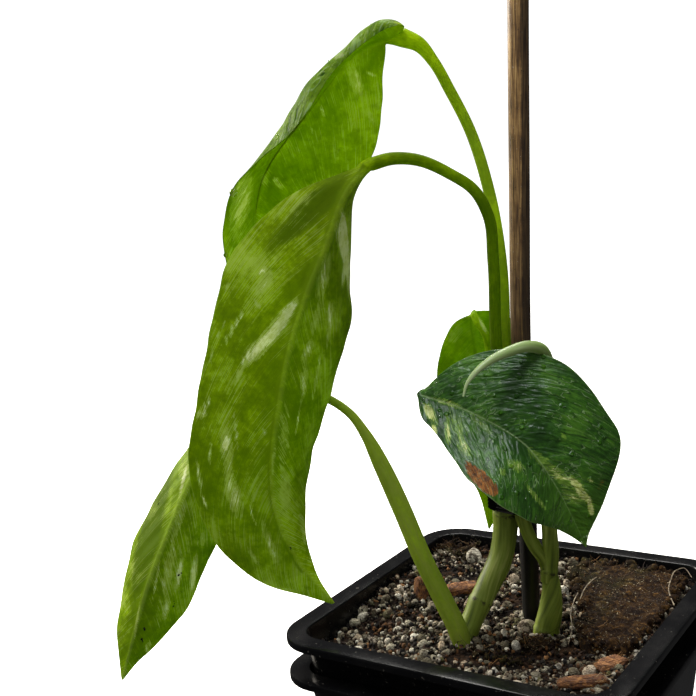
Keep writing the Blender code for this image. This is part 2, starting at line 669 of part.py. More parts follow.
def build():
    clear_scene()
    pot_black = material("pot_black", (30, 31, 33), 0.45)
    bark = material("bark_mix", (92, 72, 58), 0.95)
    coir = material("coir", (96, 62, 42), 0.95)
    husk = material("husk", (170, 104, 60), 0.85)
    bamboo = material("bamboo", (92, 72, 46), 0.6)
    cloth = material("hook_and_loop", (14, 14, 15), 0.9)
    cane = material("cane_green", (128, 138, 78), 0.55)
    green = material("leaf_green", (84, 124, 28), 0.45)
    dark = material("old_leaf_green", (40, 78, 42), 0.35)
    pale = material("new_leaf_pale", (176, 196, 140), 0.5)

    pot("pot_outer", 0.0, pot_black)
    pot("pot_inner", NEST_LIFT, pot_black)

    tube("stake", STAKE_ROUTE, STAKE_RADII, 24, bamboo, sides=10)
    tube("cane_left", CANE_LEFT_ROUTE, CANE_LEFT_RADII, 24, cane)
    cane_right(cane)
    strap(cloth)
    for name, leaf in LEAVES.items():
        leaf_body(name, leaf, dark if name == "leaf_front" else green)
    tube("new_leaf", NEW_LEAF_ROUTE, NEW_LEAF_RADII, 26, pale)

    solid("coir_plug", *stack(plug_rings(grow=False)), coir, smooth=35)
    cutters = [solid("recess", *stack(plug_rings(grow=True)))]
    for name, (spot, turn, size) in CHIPS.items():
        chip(name, spot, turn, size, mat=husk)
        cutters.append(chip("socket", spot, turn, size, grow=GAP))

    low = LEAVES["leaf_low"]
    cutters.append(hole(STAKE_ROUTE[:3], STAKE_RADII[:3], 8, sides=10))
    cutters.append(hole(CANE_LEFT_ROUTE[:5], CANE_LEFT_RADII[:5], 12))
    cutters.append(hole(CANE_RIGHT_ROUTE[:4], CANE_RIGHT_RADII[:4], 12))
    cutters.append(hole(low["stalk"][:3], low["stalk_radii"][:2] + (2.9,), 6))
    mix(cutters, bark)


build()
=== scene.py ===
"""A variegated monstera in two nested nursery pots, strapped to a bamboo stake."""

from functools import partial
import math

import bmesh
import bpy
import numpy as np
from mathutils import Matrix, Vector


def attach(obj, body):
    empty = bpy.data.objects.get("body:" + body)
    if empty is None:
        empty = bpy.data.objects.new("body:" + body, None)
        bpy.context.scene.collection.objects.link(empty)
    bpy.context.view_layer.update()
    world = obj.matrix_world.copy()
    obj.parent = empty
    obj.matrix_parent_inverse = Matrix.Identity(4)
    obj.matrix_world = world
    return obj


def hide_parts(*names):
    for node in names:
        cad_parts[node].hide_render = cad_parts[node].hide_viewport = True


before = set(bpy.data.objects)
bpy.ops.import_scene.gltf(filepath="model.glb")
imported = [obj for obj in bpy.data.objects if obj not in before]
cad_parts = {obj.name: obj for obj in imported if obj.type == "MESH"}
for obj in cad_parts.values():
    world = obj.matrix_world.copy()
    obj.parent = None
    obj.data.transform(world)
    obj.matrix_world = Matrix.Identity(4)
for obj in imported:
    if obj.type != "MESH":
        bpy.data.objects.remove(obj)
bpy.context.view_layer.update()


# Camera, floor and light.
# A plain white sweep: a pale floor, a bright backdrop behind, one large soft lamp over the
# left shoulder, one high behind that shines through the leaves, and little light in front.

MM = 0.001
CAMERA_AT = (152.7, -306.0, 268.6)
CAMERA_AZIMUTH, CAMERA_PITCH, CAMERA_ROLL = 34.06, 10.22, -4.57
CAMERA_LENS = 58.34


def linear(hex_colour):
    """An sRGB hex colour as the linear colour that the shaders need."""
    parts = [int(hex_colour[i:i + 2], 16) / 255 for i in (1, 3, 5)]
    return (*[c / 12.92 if c <= 0.04045 else ((c + 0.055) / 1.055) ** 2.4 for c in parts], 1)


def add_node(tree, kind, *values, stops=(), **more):
    """Adds a node with its settings and links. A mode may follow its kind after a space. Values
    fill its sockets in order; in more, a capital starts a socket's name, a small letter a setting's.
    A node given as a value is linked by its first output, and a hex colour is made linear."""
    kind, *mode = kind.split()
    node = tree.nodes.new("ShaderNode" + kind)
    if mode:
        setattr(node, "data_type" if kind == "Mix" else "operation", mode[0])
    named = []
    for name, value in more.items():
        if name[0].isupper():
            named.append((node.inputs[name.replace("_", " ")], value))
        else:
            setattr(node, name, value)
    sockets = [socket for socket in node.inputs if socket.enabled]
    for socket, value in [*zip(sockets, values), *named]:
        if isinstance(value, bpy.types.Node):
            value = next(output for output in value.outputs if output.enabled)
        if isinstance(value, bpy.types.NodeSocket):
            tree.links.new(value, socket)
        else:
            socket.default_value = linear(value) if isinstance(value, str) else value
    for number, (at, colour) in enumerate(stops):
        ramp = node.color_ramp.elements
        stop = ramp[number] if number < len(ramp) else ramp.new(1.0)
        stop.position = at
        stop.color = linear(colour) if isinstance(colour, str) else (colour,) * 3 + (1,)
    return node


def material(name):
    """A new material, and the function that adds a node to it."""
    mat = bpy.data.materials.new(name)
    mat.use_nodes = True
    mat.node_tree.nodes.clear()
    return mat, partial(add_node, mat.node_tree)


azimuth, pitch, roll = (math.radians(v) for v in (CAMERA_AZIMUTH, CAMERA_PITCH, CAMERA_ROLL))
look = Vector((-math.sin(azimuth) * math.cos(pitch), math.cos(azimuth) * math.cos(pitch),
               -math.sin(pitch)))
level = Vector((math.cos(azimuth), math.sin(azimuth), 0))
over = level.cross(look)
camera_right = math.cos(roll) * level + math.sin(roll) * over
camera_up = -math.sin(roll) * level + math.cos(roll) * over
camera = bpy.data.objects.new("camera", bpy.data.cameras.new("camera"))
camera.data.lens = CAMERA_LENS
camera.data.sensor_width = 36
camera.data.clip_start = 0.01
camera.matrix_world = Matrix.Translation(Vector(CAMERA_AT) * MM) @ Matrix(
    (camera_right, camera_up, -look)).transposed().to_4x4()
bpy.context.scene.collection.objects.link(camera)
bpy.context.scene.camera = camera

white_paper, add = material("white_paper_sweep")
add("OutputMaterial",
    add("BsdfPrincipled", Base_Color="#f4f4f2", Roughness=0.9, Emission_Color="#ffffff",
        Emission_Strength=0.62))
mesh = bpy.data.meshes.new("floor")
mesh.from_pydata([(-9, -9, 0), (9, -9, 0), (9, 9, 0), (-9, 9, 0)], [], [(0, 1, 2, 3)])
mesh.materials.append(white_paper)
floor = bpy.data.objects.new("floor", mesh)
bpy.context.scene.collection.objects.link(floor)
floor.visible_diffuse = floor.visible_glossy = False

world = bpy.data.worlds.new("backdrop")
world.use_nodes = True
world.node_tree.nodes.clear()
add = partial(add_node, world.node_tree)
facing = add("VectorMath DOT_PRODUCT", add("TexCoord").outputs["Generated"], (-0.5, -0.15, 0.85))
shade = add("MapRange", facing, 0.3, 0.98, 0.3, 1.4, interpolation_type="SMOOTHSTEP")
seen = add("LightPath")
glossy = add("Math MULTIPLY_ADD", seen.outputs["Is Glossy Ray"], -0.82, 1.0)
shade = add("Math MULTIPLY", shade, glossy)
strength = add("Mix", seen.outputs["Is Camera Ray"], shade, 1.15)
paper = add("Background", Color="#ffffff", Strength=strength)
add("OutputWorld", Surface=paper)
bpy.context.scene.world = world

LAMPS = (
    # name, place in metres, side in metres, watts, colour
    ("lamp_left", (-0.95, 0.1, 0.6), 0.4, 17.0, "#fff6e6"),
    ("lamp_behind", (-0.28, 0.6, 1.1), 0.5, 13.5, "#fffdf6"),
    ("lamp_top", (0.1, -0.25, 1.0), 0.4, 5.0, "#f2f7ff"),
)
for name, at, side, watts, colour in LAMPS:
    lamp = bpy.data.objects.new(name, bpy.data.lights.new(name, "AREA"))
    lamp.data.shape = "SQUARE"
    lamp.data.size = side
    lamp.data.energy = watts
    lamp.data.color = linear(colour)[:3]
    lamp.location = at
    lamp.rotation_euler = (Vector((0, 0, 0.17)) - Vector(at)).to_track_quat("-Z", "Y").to_euler()
    bpy.context.scene.collection.objects.link(lamp)
bpy.context.scene.view_settings.view_transform = "Standard"


# The two pots.
# Square nursery pots, injection-moulded in black polypropylene and nested one in the other.
# The inner stands 12 mm higher, on stacking lugs moulded under its rim's flat ledge.

RIM_SIDE, POT_HEIGHT, BASE_SIDE = 110.0, 110.0, 72.0
WALL, FLOOR, LEDGE, LIP, FLANGE = 0.9, 1.2, 5.5, 2.4, 1.1
RIM_CORNER, BASE_CORNER = 14.0, 5.0
NEST_LIFT = 12.0
# Each side's lugs, from and to along the side, and how far out they reach.
LUGS = ((-22.0, -17.5), (-15.0, 1.0), (3.5, 8.0))
LUG_REACH = 52.3
DRAIN_SPOT, DRAIN_RADIUS = 20.0, 4.0
CORNER_STEPS, SIDE_STEPS = 14, 12
RIM_Z = POT_HEIGHT + NEST_LIFT
WALL_SLOPE = (RIM_SIDE / 2 - LEDGE - BASE_SIDE / 2) / POT_HEIGHT


def piece(name, points, faces, mat, smooth=40, **fields):
    """A piece from points in millimetres, with named values on its points for its material."""
    mesh = bpy.data.meshes.new(name)
    mesh.from_pydata((np.asarray(points, float) * MM).tolist(), [], faces)
    for field, values in fields.items():
        data = mesh.attributes.new(field, "FLOAT", "POINT").data
        data.foreach_set("value", np.asarray(values, np.float32).ravel())
    work = bmesh.new()
    work.from_mesh(mesh)
    bmesh.ops.recalc_face_normals(work, faces=work.faces)
    work.to_mesh(mesh)
    work.free()
    mesh.materials.append(mat)
    mesh.shade_smooth()
    mesh.set_sharp_from_angle(angle=math.radians(smooth))
    thing = bpy.data.objects.new(name, mesh)
    bpy.context.scene.collection.objects.link(thing)
    return thing


def stand_for(thing, node):
    """Puts a piece in the place of its solid, with the look that its node has."""
    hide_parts(node)
    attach(thing, "root")


def loft(rings, capped=True):
    """Points and faces of rings of equal count joined one to the next."""
    count = len(rings[0])
    points = np.concatenate([np.asarray(ring, float) for ring in rings])
    i = np.arange(count)
    j = (i + 1) % count
    faces = []
    for row in range(len(rings) - 1):
        a, b = row * count, (row + 1) * count
        faces += np.stack([a + i, a + j, b + j, b + i], axis=1).tolist()
    if capped:
        faces.append(list(range(count - 1, -1, -1)))
        faces.append(list(range(len(points) - count, len(points))))
    return points, faces


def rounded_square(half, corner, z):
    """A ring of points round a square with rounded corners."""
    ring = []
    for quarter in range(4):
        for i in range(CORNER_STEPS + 1):
            a = math.pi / 2 * (quarter + i / CORNER_STEPS)
            cx = (half - corner) * (1, -1, -1, 1)[quarter]
            cy = (half - corner) * (1, 1, -1, -1)[quarter]
            ring.append((cx + corner * math.cos(a), cy + corner * math.sin(a), z))
        straight = half - corner
        for i in range(SIDE_STEPS):
            slide = straight * (1 - 2 * (i + 1) / (SIDE_STEPS + 1))
            ring.append(((slide, half), (-half, slide), (-slide, -half), (half, -slide))[quarter] + (z,))
    return ring


def wall_half(z):
    return BASE_SIDE / 2 + WALL_SLOPE * z


def wall_corner(z):
    return BASE_CORNER + (RIM_CORNER - LEDGE - BASE_CORNER) * z / POT_HEIGHT


def unit(vectors):
    """Vectors, each at length one."""
    return vectors / np.maximum(np.linalg.norm(vectors, axis=-1, keepdims=True), 1e-12)


def rounded_profile(profile):
    """Rounds each corner of a profile of (half, corner, z, radius) with a small arc."""
    out = []
    for k, (half, corner, z, radius) in enumerate(profile):
        here = np.array((half, corner, z))
        if radius == 0 or k in (0, len(profile) - 1):
            out.append(here)
            continue
        before = np.array(profile[k - 1][:3]) - here
        after = np.array(profile[k + 1][:3]) - here
        cut = min(radius, np.linalg.norm(before) * 0.45, np.linalg.norm(after) * 0.45)
        start, end = here + unit(before) * cut, here + unit(after) * cut
        for t in np.linspace(0, 1, 4):
            out.append((1 - t) ** 2 * start + 2 * t * (1 - t) * here + t**2 * end)
    return out


def block(low, high):
    """A small moulded block with eased edges."""
    ease = 0.35
    low, high = np.array(low, float), np.array(high, float)
    middle, half = (low + high) / 2, (high - low) / 2
    rings = []
    for z, inset in ((-1, ease), (-1 + ease / half[2], 0), (1 - ease / half[2], 0), (1, ease)):
        ring = []
        for sx, sy in ((-1, -1), (1, -1), (1, 1), (-1, 1)):
            x, y = sx * (half[0] - inset), sy * (half[1] - inset)
            cut = min(ease, half[0] * 0.5, half[1] * 0.5)
            first, second = ((x, y - sy * cut), (x - sx * cut, y))
            if sx * sy > 0:
                first, second = second, first
            ring += [(*second, z * half[2]), (*first, z * half[2])]
        rings.append(np.array(ring) + middle)
    return loft(rings)


def turned(points, quarter):
    """Points turned by quarters about the upright axis, onto one of the pot's four sides."""
    c, s = ((1, 0), (0, 1), (-1, 0), (0, -1))[quarter]
    x, y, z = np.asarray(points, float).T
    return np.stack([x * c - y * s, x * s + y * c, z], axis=1)


def joined(parts):
    """Several sets of points and faces as one."""
    points, faces, start = [], [], 0
    for some, more in parts:
        points.append(np.asarray(some, float))
        faces += [[i + start for i in face] for face in more]
        start += len(some)
    return np.concatenate(points), faces


# Polypropylene, injection-moulded: black with a grey cast, satin, dulled by dust and dried drops.
black_polypropylene, add = material("black_polypropylene_moulded")
spot = add("TexCoord").outputs["Object"]
haze = add("TexNoise", spot, Scale=55.0, Detail=6.0, Roughness=0.62)
grit = add("TexNoise", spot, Scale=900.0, Detail=3.0)
drops = add("TexVoronoi", spot, Scale=260.0, Randomness=1.0)
rings = add("ValToRGB", drops,
            stops=[(0.0, 0.25), (0.1, 0.1), (0.145, 0.75), (0.19, 0.0)])
where = add("TexNoise", spot, Scale=38.0, Detail=2.0)
few = add("MapRange", where, 0.56, 0.68)
marks = add("Math MULTIPLY", rings, few)
dust = add("MapRange", haze, 0.5, 0.8, 0, 0.06)
specks = add("MapRange", grit, 0.68, 0.74, 0, 0.5)
soil = add("Math ADD", dust, specks)
soiled = add("Math ADD", soil, marks, use_clamp=True)
colour = add("Mix RGBA", soiled, "#060607", "#5a574f")
rough = add("MapRange", haze, 0.3, 0.75, 0.14, 0.3)
grain = add("Bump", Height=grit, Strength=0.12, Distance=0.0002)
shader = add("BsdfPrincipled", Roughness=rough, Specular_IOR_Level=0.28, IOR=1.4, Normal=grain,
             Base_Color=colour)
add("OutputMaterial", shader)


def pot(name, lift):
    """A tapered square pot with a flat rim ledge, a turned-down lip, lugs and drain holes."""
    top, rim = POT_HEIGHT, RIM_SIDE / 2
    under, inner_top = top - FLANGE, wall_half(top) - WALL
    profile = rounded_profile([
        (wall_half(0) - 12.0, BASE_CORNER, 0.4, 0),
        (wall_half(0) - 3.0, BASE_CORNER, 0.4, 0.5),
        (wall_half(0) - 2.6, BASE_CORNER, 0.0, 0.4),
        (wall_half(0), BASE_CORNER, 0.0, 0.9),
        (wall_half(30), wall_corner(30), 30, 0),
        (wall_half(70), wall_corner(70), 70, 0),
        (wall_half(under), wall_corner(under), under, 0.4),
        (rim - 1.0, RIM_CORNER - 1.0, under, 0.3),
        (rim - 1.0, RIM_CORNER - 1.0, top - LIP, 0.25),
        (rim, RIM_CORNER, top - LIP, 0.3),
        (rim, RIM_CORNER, top, 0.75),
        (inner_top, wall_corner(top) - WALL, top, 0.7),
        (wall_half(70) - WALL, wall_corner(70) - WALL, 70, 0),
        (wall_half(30) - WALL, wall_corner(30) - WALL, 30, 0),
        (wall_half(FLOOR) - WALL, BASE_CORNER - WALL, FLOOR, 1.0),
        (wall_half(0) - 12.0, BASE_CORNER, FLOOR, 0),
    ])
    rings = []
    for half, corner, z in profile:
        ring = np.array(rounded_square(half, corner, z + lift))
        inward = np.cos(ring[:, :2] * 0.055).prod(axis=1)
        bow = 0.12 * np.sin(math.pi * z / POT_HEIGHT) * inward
        ring[:, :2] *= (1 - bow / 50)[:, None]
        rings.append(ring)
    parts = [loft(rings)]
    for quarter in range(4):
        for start, end in LUGS:
            low = (wall_half(POT_HEIGHT - NEST_LIFT) - 0.6, start, top - NEST_LIFT + 0.3 + lift)
            points, faces = block(low, (LUG_REACH, end, under + 0.2 + lift))
            parts.append((turned(points, quarter), faces))
    thing = piece(name + "_shell", *joined(parts), black_polypropylene, smooth=32)
    cutters = []
    for x in (-DRAIN_SPOT, DRAIN_SPOT):
        for y in (-DRAIN_SPOT, DRAIN_SPOT):
            turns = np.linspace(0, 2 * math.pi, 32, endpoint=False)
            rings = [np.stack([x + DRAIN_RADIUS * np.cos(turns), y + DRAIN_RADIUS * np.sin(turns),
                               np.full(32, z + lift)], axis=1) for z in (-1, 3)]
            cutters.append(loft(rings))
    cutter = piece("drain", *joined(cutters), black_polypropylene)
    cut = thing.modifiers.new("drain", "BOOLEAN")
    cut.object, cut.operation, cut.solver = cutter, "DIFFERENCE", "EXACT"
    graph = bpy.context.evaluated_depsgraph_get()
    holed = bpy.data.meshes.new_from_object(thing.evaluated_get(graph))
    thing.modifiers.clear()
    thing.data = holed
    bpy.data.objects.remove(cutter, do_unlink=True)
    holed.set_sharp_from_angle(angle=math.radians(32))
    stand_for(thing, name)


pot("pot_outer", 0.0)
pot("pot_inner", NEST_LIFT)


# The growing mix.
# Sieved bark and peat with tumbled pumice, poured loose into the pot: brown-black crumbs between
# pale grains of 1 to 5 mm, banked up at the walls and sunk in the corner at the left.

rng = np.random.default_rng(5)
PLUG_OUTLINE = (
    (45.5, 14.0), (45.0, 31.0), (43.5, 41.0), (40.0, 45.0), (25.0, 46.5), (12.0, 46.0),
    (6.0, 37.0), (13.0, 22.0), (20.0, 12.0), (25.0, 1.0), (27.0, -10.0), (35.0, -15.0), (44.0, -13.0),
)
PLUG_TOP, PLUG_PIT = -1.6, 7.0


def ground(x, y):
    """Height of the mix's surface below the rim."""
    bank = 2.4 * (np.maximum(np.abs(x), np.abs(y)) / 48) ** 4
    dip = 5.0 * np.exp(-((x + 46) ** 2 + (y + 32) ** 2) / 320)
    bumps = 0.5 * np.sin(0.37 * x + 1) * np.sin(0.31 * y) + 0.3 * np.sin(0.8 * x - 0.6 * y)
    heap = 2.4 * np.exp(-((x + 3) ** 2 + (y + 28) ** 2) / 160)
    return -6.4 + bank - dip + heap + bumps


def ripple(x, y, seed, size):
    """Smooth seeded unevenness of about one size, from a few crossed waves."""
    waves = np.random.default_rng(seed)
    total = np.zeros_like(np.asarray(x, float))
    for _ in range(7):
        turn, push = waves.uniform(0, 2 * math.pi, 2)
        reach = waves.uniform(0.7, 1.6) * 2 * math.pi / size
        total += np.sin((x * math.cos(turn) + y * math.sin(turn)) * reach + push)
    return total / 7


def inside_outline(x, y, outline):
    """Whether points lie inside a closed outline."""
    inside = np.zeros(np.shape(x), bool)
    corners = np.asarray(outline)
    for (x1, y1), (x2, y2) in zip(corners, np.roll(corners, -1, axis=0)):
        crosses = (y1 > y) != (y2 > y)
        with np.errstate(divide="ignore", invalid="ignore"):
            inside ^= crosses & (x < (x2 - x1) * (y - y1) / (y2 - y1 if y2 != y1 else 1e-9) + x1)
    return inside


def shrunk(outline, scale):
    corners = np.asarray(outline)
    middle = corners.mean(axis=0)
    return middle + (corners - middle) * scale


# Peat and bark fines: rotted, crumbly and matt, near black where wet, brown where dry.
peat_and_bark, add = material("peat_and_bark_fines")
spot = add("TexCoord").outputs["Object"]
clumps = add("TexNoise", spot, Scale=160.0, Detail=8.0, Roughness=0.7)
crumbs = add("TexVoronoi", spot, Scale=900.0)
browns = add("ValToRGB", clumps,
             stops=[(0.3, "#050403"), (0.46, "#110b07"), (0.58, "#26190f"), (0.72, "#43301d")])
height = add("Math SUBTRACT", clumps, crumbs)
lumps = add("Bump", Height=height, Strength=0.9, Distance=0.0008)
add("OutputMaterial",
    add("BsdfPrincipled", Base_Color=browns, Roughness=0.95, Specular_IOR_Level=0.1, Normal=lumps))

brim = wall_half(POT_HEIGHT - 7) - WALL - 0.15
corner = wall_corner(POT_HEIGHT) - WALL
rings = []
for z in (1.6, 50.0, 90.0):
    rings.append(rounded_square(wall_half(z) - WALL - 0.3, wall_corner(z), z + NEST_LIFT))
for scale in np.linspace(1, 0.02, 76):
    ring = np.array(rounded_square(brim * scale, corner * scale, 0.0))
    x, y, _ = ring.T
    rough = 0.55 * ripple(x, y, 3, 6.0) + 0.35 * ripple(x, y, 4, 2.4)
    under_plug = inside_outline(x, y, shrunk(PLUG_OUTLINE, 0.97))
    ring[:, 2] = ground(x, y) + rough + RIM_Z - PLUG_PIT * under_plug
    rings.append(ring)
mix_bed = piece("mix_bed", *loft(rings), peat_and_bark, smooth=60)
stand_for(mix_bed, "growing_mix")


def pebble(subdivisions):
    """Directions and faces of an evenly split ball, the start of a grain."""
    work = bmesh.new()
    bmesh.ops.create_icosphere(work, subdivisions=subdivisions, radius=1)
    points = np.array([v.co[:] for v in work.verts])
    faces = np.array([[v.index for v in face.verts] for face in work.faces])
    work.free()
    return points, faces


def random_turns(count):
    """Random rotation matrices."""
    q = unit(rng.normal(size=(count, 4)))
    w, x, y, z = q.T
    return np.stack([
        np.stack([1 - 2 * (y * y + z * z), 2 * (x * y - z * w), 2 * (x * z + y * w)], axis=1),
        np.stack([2 * (x * y + z * w), 1 - 2 * (x * x + z * z), 2 * (y * z - x * w)], axis=1),
        np.stack([2 * (x * z - y * w), 2 * (y * z + x * w), 1 - 2 * (x * x + y * y)], axis=1),
    ], axis=1)


def grains(places, radii, shape, lumpiness, squash):
    """Lumpy grains at places: points, faces, and for each point its grain's number."""
    ball, faces = shape
    count = len(places)
    swell = np.ones((count, len(ball)))
    for _ in range(6):
        pull = unit(rng.normal(size=(count, 3)))
        swell += lumpiness * rng.uniform(-1, 1, (count, 1)) * np.clip(pull @ ball.T, 0, 1) ** 2
    stretch = rng.uniform(squash, 1.0, (count, 3))
    bodies = ball[None] * swell[:, :, None] * stretch[:, None, :]
    bodies = np.einsum("nij,nkj->nki", random_turns(count), bodies)
    points = places[:, None, :] + bodies * np.asarray(radii)[:, None, None]
    numbers = np.repeat(np.arange(count), len(ball))
    all_faces = (faces[None] + (np.arange(count) * len(ball))[:, None, None]).reshape(-1, 3)
    return points.reshape(-1, 3), all_faces.tolist(), numbers


def scatter(count, half, keep, gap, radii):
    """Seeded places on the mix, kept apart by a share of their radii."""
    spots, sizes = [], []
    tries = 0
    while len(spots) < count and tries < count * 30:
        tries += 1
        x, y = rng.uniform(-half, half, 2)
        if abs(x) + abs(y) > 2 * half - 9 or not keep(x, y):
            continue
        radius = rng.uniform(*radii)
        if gap and spots:
            near = np.asarray(spots) - (x, y)
            if (np.hypot(*near.T) < (np.asarray(sizes) + radius) * gap).any():
                continue
        spots.append((x, y))
        sizes.append(radius)
    return np.array(spots), np.array(sizes)


def on_mix(spots, *lifts):
    """Spots on the mix as places, raised by lifts above its surface."""
    height = ground(*spots.T) + RIM_Z
    for lift in lifts:
        height = height + lift
    return np.column_stack([spots, height])


def stony(x, y):
    """Pumice lies in drifts: much of it here, little there."""
    if not off_plug(x, y):
        return False
    return 1.6 * ripple(x, y, 9, 26.0) + 0.6 * ripple(x, y, 10, 8.0) > rng.uniform(-0.5, 0.6)


def off_plug(x, y):
    return not inside_outline(np.array([x]), np.array([y]), PLUG_OUTLINE)[0]


# Pumice: frothed volcanic glass, tumbled and sieved. Chalky cream to grey, pitted, stained by peat.
pumice, add = material("pumice_tumbled")
spot = add("TexCoord").outputs["Object"]
tone = add("Attribute", attribute_name="tone").outputs["Fac"]
kinds = add("ValToRGB", tone,
            stops=[(0.0, "#403a2a"), (0.25, "#6c6450"), (0.5, "#a69e88"), (0.7, "#dcd5c2"),
                   (0.82, "#b8a488"), (0.92, "#7c7664"), (1.0, "#5c5834")])
stain = add("TexNoise", spot, Scale=420.0, Detail=5.0, Roughness=0.65)
pores = add("TexVoronoi", spot, Scale=2600.0)
pits = add("MapRange", pores, 0.1, 0.35, 0.55, 0.0)
browned = add("MapRange", stain, 0.48, 0.6, 0, 0.9)
most = add("Math MAXIMUM", pits, browned)
colour = add("Mix RGBA", most, kinds, "#342618")
relief = add("Math ADD", stain, pores)
froth = add("Bump", Height=relief, Strength=1.0, Distance=0.0008)
add("OutputMaterial",
    add("BsdfPrincipled", Base_Color=colour, Roughness=0.92, Specular_IOR_Level=0.2, Normal=froth))

BIG_STONES = (
    # x, y, radius
    (9.0, -5.5, 2.7), (-4.5, 7.0, 2.0), (-6.5, 2.5, 2.2), (-32.0, 39.0, 3.6), (-26.0, -4.5, 2.2),
    (37.5, -29.0, 2.4), (33.5, -30.5, 2.0), (0.0, 39.5, 2.4), (-11.0, 26.0, 2.6), (1.0, -1.0, 2.0),
)
fine, coarse = pebble(2), pebble(3)
big = np.array(BIG_STONES)
spots, sizes = scatter(390, 46.5, stony, 0.82, (0.85, 1.9))
spots, sizes = np.concatenate([big[:, :2], spots]), np.concatenate([big[:, 2], sizes])
places = on_mix(spots, sizes * 0.4)
points, faces, numbers = grains(places, sizes, coarse, 0.5, 0.6)
tones = rng.uniform(0.1, 1.0, len(places))
pumice_coarse = piece("pumice_coarse", points, faces, pumice, smooth=80, tone=tones[numbers])
spots, sizes = scatter(1700, 47.6, stony, 0.6, (0.3, 0.95))
places = on_mix(spots, 0.2, rng.uniform(0, 1.3, len(sizes)))
points, faces, numbers = grains(places, sizes, fine, 0.45, 0.55)
tones = rng.uniform(0.0, 1.0, len(places))
pumice_fine = piece("pumice_fine", points, faces, pumice, smooth=80, tone=tones[numbers])
for thing in (pumice_coarse, pumice_fine):
    stand_for(thing, "growing_mix")

# Bark and charcoal crumbs: split, angular, matt brown to black.
bark_crumb, add = material("bark_crumbs_split")
spot = add("TexCoord").outputs["Object"]
tone = add("Attribute", attribute_name="tone").outputs["Fac"]
kinds = add("ValToRGB", tone,
            stops=[(0.0, "#060403"), (0.4, "#140d08"), (0.7, "#2b1c10"), (0.9, "#4a3019"),
                   (1.0, "#75522f")])
layers = add("TexNoise", spot, Scale=900.0, Detail=4.0)
ridges = add("Bump", Height=layers, Strength=0.8, Distance=0.0004)
add("OutputMaterial",
    add("BsdfPrincipled", Base_Color=kinds, Roughness=0.85, Specular_IOR_Level=0.2, Normal=ridges))
spots, sizes = scatter(3200, 47.8, off_plug, 0.0, (0.3, 1.2))
places = on_mix(spots, rng.uniform(0.0, 1.5, len(sizes)))
points, faces, numbers = grains(places, sizes, pebble(1), 0.35, 0.35)
tones = rng.uniform(0.0, 1.0, len(places))
crumbs = piece("bark_crumbs", points, faces, bark_crumb, smooth=20, tone=tones[numbers])
stand_for(crumbs, "growing_mix")


# The coir plug.
# The nursery's own plug of pressed coconut fibre, set in the mix beside the canes. Spongy and
# brown, felted with short threads, greened by algae where it stays wet, with a few fine roots.

PLUG_UNDER = -13.0
outline = np.array(PLUG_OUTLINE)
fine_outline = []
for k in range(len(outline)):
    before, here, after, beyond = (outline[(k + i - 1) % len(outline)] for i in range(4))
    squared = 2 * before - 5 * here + 4 * after - beyond
    cubed = 3 * here - before - 3 * after + beyond
    for t in np.linspace(0, 1, 9)[:-1]:
        fine_outline.append(0.5 * (2 * here + (after - before) * t + squared * t**2 + cubed * t**3))
fine_outline = np.array(fine_outline)
plug_middle = outline.mean(axis=0)


def plug_height(x, y):
    """Height of the plug's crumbled top."""
    lumps = 0.6 * ripple(x, y, 21, 9.0) + 0.55 * ripple(x, y, 22, 3.0)
    return PLUG_TOP + lumps + 0.35 * ripple(x, y, 23, 1.5)


PLUG_SIDE = (
    # share of the outline, height from the rim
    (0.9, PLUG_UNDER), (0.97, -9.0), (0.995, -6.0), (1.0, -4.4),
    (0.985, -3.2), (0.96, -2.6), (0.93, -2.1),
)
rings = []
for scale, z in PLUG_SIDE:
    ring = plug_middle + (fine_outline - plug_middle) * scale
    rough = 0.25 * ripple(ring[:, 0] + z, ring[:, 1] - z, 24, 2.5)
    rings.append(np.column_stack([ring * (1 + rough[:, None] / 60), z + RIM_Z + rough]))
for scale in np.linspace(0.9, 0.03, 42):
    ring = plug_middle + (fine_outline - plug_middle) * scale
    rings.append(np.column_stack([ring, plug_height(*ring.T) + RIM_Z]))

# Coir: husk fibre pressed with its own pith, matt red-brown, olive where algae grow.
coir, add = material("coir_pressed")
spot = add("TexCoord").outputs["Object"]
felt = add("TexNoise", spot, Scale=420.0, Detail=8.0, Roughness=0.72, Distortion=0.9)
patches = add("TexNoise", spot, Scale=75.0, Detail=4.0)
browns = add("ValToRGB", felt,
             stops=[(0.3, "#070402"), (0.46, "#1a0f08"), (0.57, "#38260f"), (0.66, "#5e421e"),
                    (0.72, "#96714a")])
greens = add("ValToRGB", felt, stops=[(0.3, "#090804"), (0.5, "#1e1c0c"), (0.7, "#464220")])
side = add("SeparateXYZ", spot)
middle_band = add("MapRange", side.outputs["X"], 0.044, 0.026)
algae = add("Math MULTIPLY", patches, middle_band)
green_share = add("MapRange", algae, 0.38, 0.6, 0, 0.8)
colour = add("Mix RGBA", green_share, browns, greens)
grit = add("TexNoise", spot, Scale=1700.0, Detail=1.0)
gritty = add("MapRange", grit, 0.7, 0.74, 0, 0.8)
colour = add("Mix RGBA", gritty, colour, "#b4a88a")
fuzz = add("Bump", Height=felt, Strength=1.0, Distance=0.0012)
add("OutputMaterial",
    add("BsdfPrincipled", Base_Color=colour, Roughness=0.95, Specular_IOR_Level=0.1, Normal=fuzz))
plug = piece("coir_plug_body", *loft(rings), coir, smooth=70)


